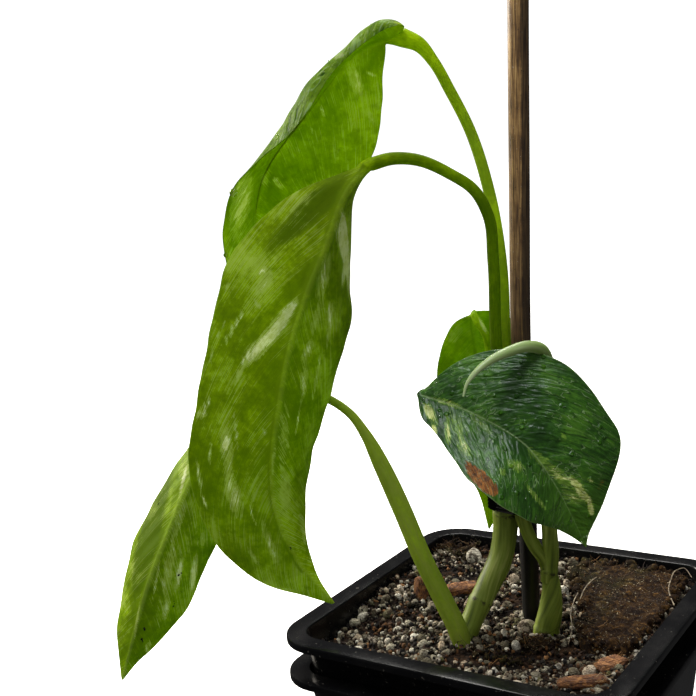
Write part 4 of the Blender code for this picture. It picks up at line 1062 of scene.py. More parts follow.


# The leaves.
# A variegated climbing monstera: every leaf is grown as one piece, a fleshy round stalk that
# bends at a knee and flattens into a thin leathery blade. The midrib is a ridge underneath and
# a groove above. Four hang with the underside outward; the low front one shows its upper side.

# Each leaf in the plant's frame (right, away, up from the rim), in mm: the stalk from its foot, the
# midrib as spine, and the half widths left and right at STATIONS along it. Leans and curls, in
# degrees, tell how far a half is folded at the midrib and rolled toward its margin. Lobes reach back
# past the stalk; keel is the midrib's height, under the outer side's sign; slant, veins and pucker
# place and swell the side veins. Rows in pale and brown are patches seen from the front: right, up,
# half length, half width, turn in degrees, strength (below zero: painted shade, as deep green).
STATIONS = (0, 0.04, 0.12, 0.25, 0.4, 0.55, 0.7, 0.85, 0.95, 1)
LEAN_PLACES = (0, 0.05, 0.15, 0.4, 0.55, 0.7, 1)
LEAVES = {
    "leaf_top": dict(
        stalk=((2.2, -2.6, 46.4), (2.4, 0.4, 64), (3.5, 3, 83), (4.1, 6, 108), (1.9, 8, 129),
               (-2.9, 10, 148.6), (-7.9, 11, 160.2), (-12.2, 11.6, 169.0), (-16.4, 12, 174.5),
               (-21.4, 12.4, 177.0)),
        stalk_radii=(1.6, 1.65, 1.7, 1.75, 1.8, 1.8, 1.8, 1.8, 1.75, 1.7, 1.7, 1.8, 2.9),
        spine=((-24.0, 13, 176.8), (-29, 14, 175.8), (-34.5, 15, 173.5), (-39.6, 16.5, 170),
               (-45, 18, 164.6), (-50.4, 19.4, 158.8), (-55.6, 20.6, 153.6), (-60.3, 21.4, 148.8),
               (-64.6, 22.2, 143.8), (-68.2, 23.2, 138.2), (-70.6, 24.4, 131.5), (-72, 25.6, 123),
               (-72.4, 26, 115), (-71.6, 26, 102), (-67.8, 25.5, 85)),
        left=(24, 19, 11, 21.3, 19.8, 20.2, 18.4, 12.5, 4.5, 0),
        right=(0.6, 6.6, 15.0, 23.0, 27.8, 28.0, 24.5, 16, 5.5, 0),
        left_lean=(0, -4, -18, -60, -72, -64, -50), left_curl=(-150, -155, -136, -62, 0, 0, 0),
        right_lean=(20, 15, 5, 0, 5, 10, 20), right_curl=18,
        left_lobe=18, right_lobe=1.5, keel=1.5, under=-1, slant=0.9, veins=8.5, pucker=0.1, rib=0.9,
        pale=(
            (-36.0, 165.4, 4.7, 2.0, -73, 0.62), (-40.3, 172.7, 1.9, 0.9, 15, 1.1),
            (-74.3, 131.0, 11.4, 2.8, -106, 0.66), (-66.8, 137.8, 2.4, 1.6, -74, 0.42),
            (-62.6, 135.7, 2.1, 1.0, -47, 0.6), (-46.9, 157.4, 2.1, 0.6, -73, 0.6),
            (-51.0, 151.8, 2.1, 0.6, -67, 0.5), (-55.9, 146.0, 1.4, 0.6, -30, 0.6),
            (-32.0, 154.3, 2.3, 0.8, -69, 0.6), (-31.2, 167.1, 1.7, 0.5, -24, 0.8),
            (-37.6, 152.6, 1.4, 0.5, 53, 0.6), (-74.5, 129.7, 2.8, 0.5, 54, 0.9),
            (-63.1, 137.6, 2.5, 0.6, -158, 0.45),
        ),
    ),
    "leaf_long": dict(
        stalk=((0.6, -6.3, 46.4), (0.4, -4.8, 66), (0.0, -3, 85), (0.5, -3, 109), (-0.3, -3, 122.7),
               (-4, -3, 130.3), (-10.8, -3, 135.6), (-20.9, -4, 140.6), (-27.6, -5, 141.4),
               (-34.3, -6.6, 140.2)),
        stalk_radii=(1.6, 1.8, 1.8, 1.75, 1.7, 1.7, 2.0),
        spine=((-36, -7.2, 139.4), (-41, -9.5, 134), (-49, -13, 118), (-56, -15.5, 104), (-61.6, -17, 90),
               (-66.5, -18, 72), (-70, -17.6, 54), (-70, -16, 40), (-65, -14, 24), (-55.2, -12, 8.2)),
        left=(1.8, 6.0, 16.4, 25.2, 24.8, 25.6, 25.8, 18.6, 6.2, 0),
        right=(3.2, 11.4, 21.0, 24.9, 21.6, 20.8, 18.8, 7.8, 1.5, 0),
        left_lean=(10, 8, 5, 5, 5, 5, 10), left_curl=20,
        right_lean=(56, 54, 46, 17, 24, 30, 24), right_curl=48,
        left_lobe=1, right_lobe=1, keel=1.5, under=-1, slant=2.2, veins=14.0, pucker=0.12, rib=1.0,
        pale=(
            (-67.6, 109.3, 4.2, 1.7, -128, 0.6), (-67.7, 112.4, 1.7, 0.6, -153, 0.8),
            (-62.4, 98.3, 8.0, 1.4, -127, 0.85), (-72.2, 89.6, 6.1, 2.3, -137, 0.52),
            (-56.8, 120.8, 6.1, 0.4, -153, 0.5), (-44.4, 118.5, 6.4, 1.2, -81, 0.72),
            (-43.1, 112.8, 12.7, 1.0, -90, 0.85), (-50.1, 109.9, 7.5, 2.0, -108, 0.55),
            (-44.5, 108.2, 4.2, 0.6, -100, 0.8), (-53.2, 97.7, 5.2, 1.5, -110, 0.45),
            (-56.8, 88.3, 3.5, 1.2, -119, 0.7), (-58.5, 79.4, 5.8, 1.2, -100, 0.6),
            (-49.6, 98.5, 3.6, 0.6, -99, 0.7), (-77.6, 96.8, 7.2, 0.6, 55, 0.65),
            (-79.0, 108.6, 2.2, 0.9, -128, 0.5), (-83.0, 61.5, 7.0, 2.1, -91, 0.5),
            (-83.0, 62.8, 2.3, 0.9, -111, 0.6), (-82.3, 46.4, 8.1, 2.4, -83, 0.6),
            (-92.4, 52.7, 5.4, 0.7, -86, 0.8), (-91.7, 44.2, 2.3, 0.6, -85, 1),
            (-89.8, 71.4, 1.9, 1.2, 18, 0.7), (-87.9, 74.4, 2.7, 0.6, -118, 0.8),
            (-71.2, 65.8, 1.4, 0.7, -63, 0.6), (-65.7, 64.1, 10.8, 1.8, -98, 0.42),
            (-67.1, 45.3, 7.9, 1.8, -93, 0.45), (-62.9, 32.8, 5.8, 0.9, -85, 0.5),
            (-73.0, 30.4, 8.0, 1.2, -78, 0.6), (-78.4, 25.4, 4.8, 0.9, -65, 0.45),
            (-69.8, 13.8, 5.0, 0.6, -8, 0.5), (-77.3, 82.6, 2.5, 0.9, -115, 0.6),
            (-69.9, 102.8, 1.8, 0.6, -54, 0.6), (-75.4, 86.6, 4.0, 0.4, -121, 0.6),
            (-81.5, 96.3, 3.6, 0.4, -119, 0.55), (-84.9, 89.1, 3.8, 0.4, -113, 0.55),
            (-49.6, 94.6, 7.4, 0.6, -103, 0.6), (-54.6, 80.3, 7.7, 0.6, -105, 0.6),
            (-61.3, 67.8, 6.2, 0.4, -105, 0.65), (-69.5, 56.3, 7.2, 0.4, -102, 0.6),
            (-77.2, 39.9, 4.9, 0.4, -85, 0.65), (-88.3, 59.0, 4.8, 0.4, -103, 0.55),
            (-79.7, 66.3, 6.3, 0.4, -89, 0.7), (-50.1, 131.1, 7.1, 3.5, -158, -0.5),
            (-54.7, 110.4, 8.0, 1.7, -120, -0.3), (-43.5, 119.5, 8.0, 1.2, -90, 1.3),
            (-55.2, 126.0, 13.1, 3.8, -143, -0.5), (-66.5, 94.8, 10.5, 1.7, -132, 0.7),
        ),
    ),
    "leaf_low": dict(
        stalk=((-17.2, -21.6, -9), (-18.5, -20.6, 0), (-21.8, -18, 8.2), (-27.5, -14, 22),
               (-32.5, -9, 36.3), (-37.5, -4, 49), (-41.5, -1, 58), (-45.7, 2, 64.2), (-52, 5, 68.8),
               (-61, 8, 72), (-72, 9, 72.5), (-80, 9, 69.5)),
        stalk_radii=(2.9, 3.0, 2.95, 2.9, 2.9, 2.85, 2.5, 1.6, 1.35, 1.45, 1.45, 1.5),
        spine=((-81.5, 9, 68), (-90, 8, 57.5), (-98.3, 6, 44.4), (-107.3, 4, 27.6), (-113.6, 3, 15),
               (-121.3, 3, -4.5), (-126.8, 4, -19)),
        left=(1.6, 7.6, 12.4, 14.8, 17.4, 18.8, 16.0, 10.5, 3.2, 0),
        right=(1.6, 9, 14.0, 16.6, 16.0, 15.8, 15.0, 8.2, 2.4, 0),
        left_lean=(60, 60, 58, 50, 48, 46, 30), left_curl=22,
        right_lean=(10, 8, 5, 5, 8, 10, 10), right_curl=20,
        left_lobe=1, right_lobe=1, keel=1.3, under=-1, slant=2.0, veins=12.0, pucker=0.12, rib=0.8,
        pale=(
            (-100.9, 47.8, 3.8, 2.3, -135, 0.45), (-102.6, 33.8, 6.9, 1.3, -114, 0.6),
            (-107.8, 18.4, 7.7, 1.6, -105, 0.45), (-100.6, 13.7, 7.2, 1.1, -104, 0.9),
            (-96.4, 25.9, 2.8, 1.6, 70, 0.4), (-104.7, 15.2, 5.2, 0.8, -106, 0.8),
            (-110.1, 3.9, 3.5, 1.0, -106, 0.5), (-117.2, -8.3, 2.8, 1.0, -110, 0.4),
            (-107.5, 13.6, 21.2, 2.9, -112, 0.22), (-101.1, 44.2, 4.2, 0.6, -108, 0.7),
            (-111.8, 14.9, 7.0, 0.5, -106, 0.6), (-119.3, 2.1, 6.9, 0.5, -104, 0.6),
            (-106.2, 43.7, 7.1, 2.6, -121, -0.25), (-114.4, 25.9, 18.4, 3.6, -110, -0.9),
        ),
    ),
    "leaf_front": dict(
        stalk=((3.5, -9.6, 46.4), (1.5, -12, 56), (-6, -14, 66), (-16, -16, 72.5), (-23.4, -17.5, 74)),
        stalk_radii=(1.5, 1.5, 1.4, 1.0),
        spine=((-25.3, -18.7, 73.4), (-15.6, -24, 70.5), (-7.5, -29, 66.9), (2.6, -34, 59.8),
               (9.6, -36, 48.8), (14.5, -35.5, 38), (18.4, -33, 28.2)),
        left=(3.8, 6.9, 9.5, 14.3, 19.7, 20.4, 14.8, 5.4, 1.4, 0),
        right=(1.5, 6.3, 13.5, 21.1, 24.9, 24.5, 23.2, 11.5, 2.6, 0),
        left_lean=(-40, -42, -45, -45, -45, -42, -20), left_curl=12,
        right_lean=(10, 9, 8, 6, 6, 8, 10), right_curl=16,
        left_lobe=0.6, right_lobe=0.6, keel=1.1, under=1, slant=1.1, veins=9.0, pucker=0.12, rib=0.35,
        pale=(
            (-22.4, 68.8, 2.8, 1.1, -69, 0.75), (-17.5, 71.4, 3.9, 1.0, -18, 0.7),
            (-16.4, 66.8, 3.3, 2.3, -64, 0.5), (-15.1, 61.4, 2.9, 1.7, -59, 0.55),
            (-18.8, 64.2, 2.5, 0.8, -87, 0.7), (-9.2, 66.3, 3.6, 1.1, -42, 0.5),
            (-1.0, 55.9, 2.8, 1.4, -29, 0.62), (7.1, 55.0, 6.4, 1.7, -47, 0.55),
            (14.1, 47.9, 6.1, 2.5, -51, 0.5), (17.8, 45.1, 5.7, 1.1, -57, 1),
            (20.3, 48.3, 1.3, 0.6, -49, 0.8), (19.9, 39.9, 2.2, 0.8, -74, 1.2),
            (3.5, 47.1, 5.7, 0.7, -56, 0.55), (-5.3, 55.3, 1.2, 0.8, -55, 0.6),
            (13.2, 61.7, 1.4, 0.6, -57, 0.4), (5.0, 83.0, 1.5, 0.6, 13, 0.35),
            (-23.7, 69.6, 2.2, 0.7, -76, 0.9), (-22.1, 65.2, 1.5, 0.7, -65, 0.8),
            (14.7, 43.6, 3.8, 1.7, -35, 0.5),
        ),
        brown=((-11.4, 54.1, 5.0, 1.8, -44, 1.2), (23.3, 46.5, 3.2, 1.4, -110, 0.35),),
    ),
    "leaf_back": dict(
        stalk=((-1.1, -1.9, 46.4), (-1.0, 2.4, 64), (-1.1, 3.8, 77), (-2.4, 4.2, 86), (-4.4, 4.8, 89.6),
               (-5.2, 6.4, 91.5)),
        stalk_radii=(1.0, 1.2, 1.2, 1.2),
        spine=((-5.2, 9.0, 91.6), (-4.4, 11.6, 86), (-3.2, 14, 76), (-1.1, 18, 58), (-0.7, 18, 41),
               (-2.1, 16, 28), (-3.6, 14, 18.7)),
        left=(1.5, 6, 10.5, 14.4, 16.4, 16, 11, 4, 1.2, 0),
        right=(1.5, 8.5, 14, 16.8, 18, 18, 13.5, 6, 2, 0),
        left_lean=(20, 18, 15, 15, 15, 15, 10), left_curl=15,
        right_lean=(10, 8, 5, 5, 8, 10, 10), right_curl=10,
        left_lobe=1.5, right_lobe=4, keel=1.0, under=-1, slant=1.2, veins=8.0, pucker=0.12, rib=0.8,
        pale=(
            (-2.6, 88.3, 2.7, 0.9, -67, 0.9), (-10.4, 84.4, 3.9, 1.9, -118, 0.42),
            (-6.9, 77.6, 3.5, 1.0, -101, 0.5), (-5.1, 81.5, 5.8, 1.9, -101, -0.1),
        ),
    ),
}
ROWS = 168
HALF_COLUMNS = 30
KNEE_LENGTH = 2.8


def blade_grid(leaf):
    """The blade's middle sheet as rows of points, with each point's place, reach and distance."""
    steps = np.linspace(0, 1, ROWS + 1)[:-1]
    places = (steps**1.5 + (1 - np.cos(math.pi * steps)) / 2) / 2
    spine = along(leaf["spine"], np.append(places, 1))
    run = lengths_along(spine)[:-1]
    spine = spine[:-1]
    heading = unit(np.gradient(spine, axis=0))
    side_on = np.pad(np.cross(heading, (0.0, 1.0, 0.0)), ((24, 24), (0, 0)), mode="edge")
    window = np.hanning(51)[1:-1]
    across = unit(np.stack([np.convolve(part, window, "valid") for part in side_on.T], axis=1))
    depth = unit(np.cross(across, heading))
    side = np.linspace(-1, 1, 2 * HALF_COLUMNS + 1)[None]
    reach = np.abs(side) ** 1.2
    on_left = side < 0

    def both(key, knots):
        left, right = (blend(knots, np.ones(len(knots)) * leaf[half + key], places)[:, None]
                       for half in ("left", "right"))
        return np.where(on_left, left, right)

    width = np.maximum(both("", STATIONS), 0.16)
    uneven = 0.004 * np.sin(run / 2.9 + 1.0) + 0.005 * np.sin(run / 6.1) + 0.003 * np.sin(run / 1.3)
    uneven = uneven[:, None] * np.where(on_left, 1, -0.8) * np.clip(places * 8, 0, 1)[:, None]
    width = width * (1 + uneven)
    lean = np.radians(both("_lean", LEAN_PLACES))
    curl = np.radians(both("_curl", LEAN_PLACES) + 0.01)
    out = width * (np.sin(lean + curl * reach) - np.sin(lean)) / curl * np.where(on_left, -1, 1)
    deep = width * (np.cos(lean) - np.cos(lean + curl * reach)) / curl
    lobe = np.where(on_left, leaf["left_lobe"], leaf["right_lobe"])
    lobe = lobe * np.exp(-places / 0.05)[:, None] * reach
    rows = (spine[:, None] + across[:, None] * out[..., None] + depth[:, None] * deep[..., None]
            - heading[:, None] * lobe[..., None])
    return rows, places, run, reach * np.ones_like(width), width * reach * np.where(on_left, -1, 1)


def stalk_rings(leaf, knee_at, turns, beside, above):
    """The stalk's rings and middles from the knee down to its foot."""
    route = along(leaf["stalk"][::-1], np.linspace(0, 1, 401))
    clear = np.argmax(np.linalg.norm(route - knee_at, axis=1) > KNEE_LENGTH) / 400
    spots = np.linspace(clear, 1, 150)
    path = along(leaf["stalk"][::-1], spots)
    radii = blend(np.linspace(0, 1, len(leaf["stalk_radii"])), leaf["stalk_radii"][::-1], spots)
    rings = []
    for centre, direction, radius in zip(path, unit(np.gradient(path, axis=0)), radii):
        beside = unit(beside - direction * (beside @ direction))
        above = unit(above - direction * (above @ direction) - beside * (above @ beside))
        half = [centre - radius * np.cos(turns) * beside + sign * radius * np.sin(turns) * above
                for sign in (1, -1)]
        rings.append(np.concatenate([half[0], half[1][::-1]]))
    return np.array(rings), path


def leaf_parts(leaf):
    """Points of the whole leaf, ring by ring from the stalk's foot to the tip, and its fields."""
    rows, places, run, reach, distance = blade_grid(leaf)
    normals = unit(np.cross(np.gradient(rows, axis=1), np.gradient(rows, axis=0))) * leaf["under"]
    swept = 0.6 * np.abs(distance) + 0.02 * distance**2
    phase = (run[:, None] - leaf["slant"] * swept) / leaf["veins"]
    grown = np.clip(places * 12, 0, 1)[:, None] * np.clip((1 - places) * 12, 0, 1)[:, None]
    inner = np.clip(np.abs(distance) / 5, 0, 1) * (1 - reach**4)
    pucker = leaf["pucker"] * np.cos(2 * math.pi * phase) * inner * grown
    wave = 0.25 * np.sin(run / 5.5)[:, None] * reach**3 * np.sign(distance) * grown
    wave = wave + 0.15 * np.sin(run / 2.3 + 2)[:, None] * reach**6 * grown
    rows = rows + normals * (pucker + wave)[..., None]
    taper = (1 - places)[:, None]
    rib = leaf["keel"] * taper**0.8 * np.exp(-(distance / (0.7 + 0.9 * taper)) ** 2)
    groove = 0.35 * taper * np.exp(-(distance / 0.6) ** 2)
    half_thick = 0.27 - 0.13 * reach**3
    keel_side = rows + normals * (half_thick + rib)[..., None]
    plain_side = rows - normals * (half_thick - groove)[..., None]

    roundness = np.exp(-places / 0.03)[:, None, None]
    middle = rows[:, HALF_COLUMNS][:, None]
    facing = normals[:, HALF_COLUMNS]
    across = unit(np.cross(np.cross(facing, rows[:, -1] - rows[:, 0]), facing))
    knee = leaf["stalk_radii"][-1]
    turns = np.linspace(0.012, 0.988, rows.shape[1])[:, None] * math.pi
    beside = middle - knee * np.cos(turns) * across[:, None]
    above = knee * np.sin(turns) * facing[:, None]
    keel_side = keel_side + (beside + above - keel_side) * roundness
    plain_side = plain_side + (beside - above - plain_side) * roundness
    blade = np.concatenate([keel_side, plain_side[:, ::-1]], axis=1)

    stalk, path = stalk_rings(leaf, rows[0, HALF_COLUMNS], turns, across[0], facing[0])
    leave = unit(rows[0, HALF_COLUMNS] - rows[1, HALF_COLUMNS]) * KNEE_LENGTH
    arrive = unit(path[1] - path[0]) * KNEE_LENGTH
    bridge = []
    for t in np.linspace(0, 1, 9)[1:-1]:
        bridge.append((2 * t**3 - 3 * t**2 + 1) * blade[0] + (t**3 - 2 * t**2 + t) * leave
                      + (3 * t**2 - 2 * t**3) * stalk[0] + (t**3 - t**2) * arrive)
    rings = np.concatenate([stalk[::-1], np.array(bridge)[::-1], blade])

    back = lengths_along(path)[::-1] + KNEE_LENGTH
    start = np.concatenate([-back, -KNEE_LENGTH * np.linspace(1, 0, 9)[1:-1]])[:, None]
    turn = np.concatenate([turns[:, 0], 2 * math.pi - turns[::-1, 0]])
    stalk_points = np.ones((len(start), rings.shape[1]))
    midrib = np.exp(-(distance / (leaf["rib"] * (0.4 + 0.6 * taper))) ** 2)
    # Painted shade: a thin dark line and a broad dark band on one side of the midrib, where its ridge
    # shades the blade.
    flank = 0.8 * np.exp(-((distance + 1.1) / 0.45) ** 2) + 0.4 * np.exp(-((distance + 3.2) / 2.4) ** 2)
    turned_up = np.repeat([0.0, 1.0], rows.shape[1]) * np.clip(places * 30 - 0.1, 0, 1)[:, None]

    def both(field):
        return np.concatenate([field, field[:, ::-1]], axis=1)

    on_stalk = dict(comb=turn * knee, flow=-start, phase=start / leaf["veins"], stalk=1)
    on_blade = dict(
        comb=both(phase * leaf["veins"] + 40 * (distance < 0)), flow=both(np.abs(distance)),
        phase=both(phase), reach=both(reach), rib=both(midrib),
        shade=both(flank * (places[:, None] < 0.9)), over=turned_up,
        stalk=both(np.exp(-places / 0.02)[:, None] + 0 * reach),
    )
    fields = {key: np.concatenate([stalk_points * on_stalk.get(key, 0), values])
              for key, values in on_blade.items()}
    for name in ("pale", "brown"):
        total = np.zeros(rings.shape[:2])
        for right, up, long, wide, turned_by, strength in leaf.get(name, ()):
            c, s = math.cos(math.radians(turned_by)), math.sin(math.radians(turned_by))
            du, dv = rings[..., 0] - right, rings[..., 2] - up
            off = ((du * c + dv * s) / long) ** 2 + ((dv * c - du * s) / wide) ** 2
            total = total + strength * np.exp(-off**2)
        fields[name] = total
    return rings, fields


def leaf_skin(name, greens, greys, pales, rib_tone, rib_share, stalk_tone_and_shade, stalk_share, fleck_share,
              glow, rough, shine, old=False):
    """Leaf skin: wax over green cells in three tones, patches without green, and paler veins."""
    mat, add = material(name)
    comb, flow, phase, reach, rib, shade, over, stalk, pale, brown = (
        add("Attribute", attribute_name=key).outputs["Fac"]
        for key in ("comb", "flow", "phase", "reach", "rib", "shade", "over", "stalk", "pale", "brown"))

    def combed(across, lengthwise):
        """Places on the skin, scaled across and along the side veins."""
        across, lengthwise = add("Math MULTIPLY", comb, across), add("Math MULTIPLY", flow, lengthwise)
        return add("CombineXYZ", across, lengthwise)

    def weighed(*pairs):
        """Several noises mixed about their middle, each with its weight."""
        total = 0.5
        for value, weight in pairs:
            total = add("Math MULTIPLY_ADD", add("Math SUBTRACT", value, 0.5), weight, total)
        return total

    streaks = add("TexNoise", combed(0.4, 0.1), Scale=1.0, Detail=3.0, Roughness=0.55)
    fine = add("TexNoise", combed(1.5, 0.5), Scale=1.0, Detail=4.0, Roughness=0.7)
    hairs = add("TexNoise", combed(2.0, 0.16), Scale=1.0, Detail=2.0, Roughness=0.65)
    threads = add("TexNoise", combed(2.3, 0.11), Scale=1.0, Detail=1.0, Roughness=0.5)
    spot = add("TexCoord").outputs["Object"]
    clouds = add("TexNoise", spot, Scale=70.0, Detail=3.0, Roughness=0.55)
    cells = add("TexNoise", spot, Scale=520.0, Detail=4.0, Roughness=0.7)
    folds = add("TexNoise", spot, Scale=190.0, Detail=3.0, Distortion=0.6)
    tone = weighed((clouds, 0.55), (cells, 0.45), (fine, 0.25), (hairs, 0.2))
    grain = weighed((fine, 0.8), (cells, 0.7))
    green = add("ValToRGB", tone, stops=zip((0.38, 0.5, 0.62), greens))
    grey = add("ValToRGB", grain, stops=zip((0.4, 0.6), greys))
    cream = add("ValToRGB", grain, stops=zip((0.4, 0.6), pales))

    # Patches with little green, then with none; flecks and threads between them; down the stalk
    # its own tone, which on leaf_long and leaf_back is a dark painted shade.
    ragged = add("Math SUBTRACT", weighed((streaks, 1.1), (hairs, 1.2), (fine, 0.7)), 0.5)
    patch = add("Math MULTIPLY_ADD", ragged, add("MapRange", pale, 0.02, 0.25), pale)
    flecks = add("Math MULTIPLY_ADD", pale, 0.12, weighed((threads, 1.15), (clouds, 1.0), (cells, 0.3)))
    light_flecks = add("Math MULTIPLY", add("MapRange", flecks, 0.65, 0.665, 0, fleck_share),
                       add("Math SUBTRACT", 1.0, stalk))
    # Painted shade on leaf_long and leaf_back: the stalk darkens further from the blade.
    far_down = add("Math MULTIPLY", add("MapRange", stalk, 0.3, 0.95),
                   add("MapRange", flow, 5.0, 45.0, 0, stalk_share))
    far_down = add("Math MULTIPLY", far_down, add("Math MULTIPLY_ADD", hairs, 1.6, 0.1))
    colour = add("Mix RGBA", add("MapRange", patch, 0.3, 0.33), green, grey)
    for share, layer in (
            # Painted shade: where a patch's strength is below zero, the colour turns deep green.
            (add("MapRange", pale, -0.05, -0.5, 0, 0.8), greens[0] if old else "#465c04"),
            (light_flecks, greys[1]),
            (add("MapRange", flecks, 0.415, 0.38, 0, 0.5), greens[0]),
            (add("MapRange", patch, 0.68, 0.71), cream),
            (far_down, stalk_tone_and_shade)):
        colour = add("Mix RGBA", share, colour, layer)

    # Side veins, the midrib with its shaded flank, the thin margin, and dead brown tissue.
    vein_gap = add("Math PINGPONG", phase, 0.5)
    vein = add("Math MULTIPLY", add("MapRange", vein_gap, 0.03, 0.008),
               add("MapRange", reach, 0.98, 0.6, 0, 0.1 if old else 0.32))
    vein = add("Math MULTIPLY", vein, add("MapRange", weighed((clouds, 1.0), (streaks, 1.0)), 0.42, 0.6))
    dead = add("Math MULTIPLY_ADD", ragged, add("MapRange", brown, 0.02, 0.2, 0, 0.7), brown)
    dead = add("MapRange", dead, 0.4, 0.44)
    rust = add("ValToRGB", grain, stops=[(0.36, "#3c1e04"), (0.5, "#74420a"), (0.64, "#9a6220")])
    for share, layer in (
            (add("Math MULTIPLY", vein, add("MapRange", stalk, 0.9, 0.3)), rib_tone),
            (add("Math MULTIPLY", rib, add("MapRange", stalk, 1.0, 0.2, 0, rib_share)), rib_tone),
            (add("Math MULTIPLY", shade, 0.9), greens[0]),
            (add("MapRange", reach, 0.985, 0.997, 0, 0.5), rib_tone),
            (dead, rust)):
        colour = add("Mix RGBA", share, colour, layer)

    # The upper side: thicker wax looks bluer. An old leaf is lighter toward its tip, and on its creases
    # a thin painted shadow line runs beside a painted highlight line, over the creases' bump; on a young
    # one the creases get soft painted shade and painted highlights.
    crumpled = add("TexNoise", combed(0.34, 0.22), Scale=1.0, Detail=0.6 if old else 2.5, Roughness=0.55,
                   Distortion=1.6)
    creases = weighed((crumpled, 1.0), (folds, 0.4))
    upper = add("Math MULTIPLY", over, 0.9 if old else 0.85)
    if old:
        tipward = add("Math MULTIPLY", add("MapRange", phase, 4.2, 7.6, 0, 0.75),
                      add("MapRange", patch, 0.33, 0.3))
        colour = add("Mix RGBA", tipward, colour, "#507c12")
        upper_here = add("Math MULTIPLY", upper, add("MapRange", clouds, 0.44, 0.54))
        # Painted shadow in dark green and a painted highlight in pale green, each a thin line on a
        # crease.
        for at, width, share, layer in ((0.5, 0.022, 0.85, "#0c2408"), (0.53, 0.02, 0.4, "#a8c08c")):
            off_line = add("Math ABSOLUTE", add("Math SUBTRACT", creases, at))
            painted_crease_light = add("MapRange", off_line, width, 0.006, 0, share)
            colour = add("Mix RGBA", add("Math MULTIPLY", upper_here, painted_crease_light), colour, layer)
    else:
        colour = add("Mix RGBA", add("Math MULTIPLY", over, 0.55), colour, "#2e5c28")
        # Painted shade in dark green and painted highlights in pale green on the soft folds.
        for none, full, share, layer in ((0.4, 0.33, 1.0, "#1a3a12"), (0.57, 0.65, 0.55, "#a8c08c")):
            painted_crease_light = add("MapRange", creases, none, full, 0, share)
            colour = add("Mix RGBA", add("Math MULTIPLY", upper, painted_crease_light), colour, layer)

    # Relief: folds, creases, standing beads of rain, cells, and the sunk side veins.
    beads = add("TexVoronoi", spot, Scale=340.0)
    chosen = add("Math GREATER_THAN", add("SeparateColor", beads.outputs["Color"]), 0.72)
    bead = add("Math MULTIPLY", add("MapRange", beads, 0.3, 0.14), add("Math MULTIPLY", chosen, over))
    relief = add("Math MULTIPLY", folds, add("Math MULTIPLY_ADD", over, 0.6, 0.3))
    relief = add("Math MULTIPLY_ADD", creases, add("Math MULTIPLY", upper, 1.4 if old else 2.6), relief)
    relief = add("Math MULTIPLY_ADD", cells, 0.12, add("Math MULTIPLY_ADD", bead, 0.8, relief))
    sunk = add("Math MULTIPLY", add("MapRange", vein_gap, 0.05, 0.0), 0.1)
    bump = add("Bump", Height=add("Math SUBTRACT", relief, sunk), Strength=1.0, Distance=0.0005)
    gloss = add("Math MULTIPLY_ADD", dead, 0.4, add("Math MULTIPLY_ADD", bead, -0.25, rough))
    wax = add("BsdfPrincipled", Base_Color=colour, Roughness=gloss, Normal=bump, Specular_IOR_Level=shine)
    through = add("BsdfTranslucent", Color=add("Mix RGBA", 0.25, colour, "#9ccc00"))
    add("OutputMaterial", add("MixShader", glow, wax, through))
    return mat


SKINS = {
    "leaf_top": leaf_skin(
        "leaf_top_skin_green", ("#788e00", "#92a800", "#b0c60c"), ("#a6b83c", "#c2d068"),
        ("#d0d688", "#e8ecb8"), rib_tone="#a0b41c", rib_share=0.25, stalk_tone_and_shade="#7e8c34",
        stalk_share=0.5, fleck_share=0.6, glow=0.55, rough=0.5, shine=0.05),
    "leaf_long": leaf_skin(
        "leaf_long_skin_green", ("#647a00", "#7e9600", "#9cb80a"), ("#8ea034", "#b4c45c"),
        ("#ccd284", "#f0f2c4"), rib_tone="#a8bc48", rib_share=0.25, stalk_tone_and_shade="#3e5406",
        stalk_share=0.75, fleck_share=0.75, glow=0.5, rough=0.5, shine=0.05),
    "leaf_low": leaf_skin(
        "leaf_low_skin_green", ("#5c7400", "#769200", "#94b008"), ("#94a638", "#b2c260"),
        ("#c8d08c", "#e4e8bc"), rib_tone="#a6b45c", rib_share=0.25, stalk_tone_and_shade="#7c8634",
        stalk_share=0.85, fleck_share=0.7, glow=0.42, rough=0.5, shine=0.05),
    "leaf_front": leaf_skin(
        "leaf_front_skin_dark_green", ("#1c3c0e", "#2c5612", "#427018"), ("#486c16", "#6e9030"),
        ("#8fa03c", "#c8ce84"), rib_tone="#8aa268", rib_share=0.7, stalk_tone_and_shade="#56702c",
        stalk_share=0.0, fleck_share=0.15, glow=0.12, rough=0.36, shine=0.4, old=True),
    "leaf_back": leaf_skin(
        "leaf_back_skin_green", ("#6c8600", "#82a004", "#9eba10"), ("#8ca42c", "#a2b44c"),
        ("#b4c276", "#ccd498"), rib_tone="#8ca82c", rib_share=0.3, stalk_tone_and_shade="#4c6408",
        stalk_share=0.5, fleck_share=0.5, glow=0.55, rough=0.5, shine=0.05),
}
grown = {}
for name, leaf in LEAVES.items():
    rings, fields = leaf_parts(leaf)
    grown[name] = rings
    points, faces = loft([place(ring) for ring in rings])
    blade = piece(name + "_grown", points, faces, SKINS[name], smooth=70, **fields)
    stand_for(blade, name)


# The drops and specks.
# Rain left on the plant: two drops hang from the top leaf's edge and beads sit on the upper
# sides. Splashed grains of peat stick to the hanging leaves.

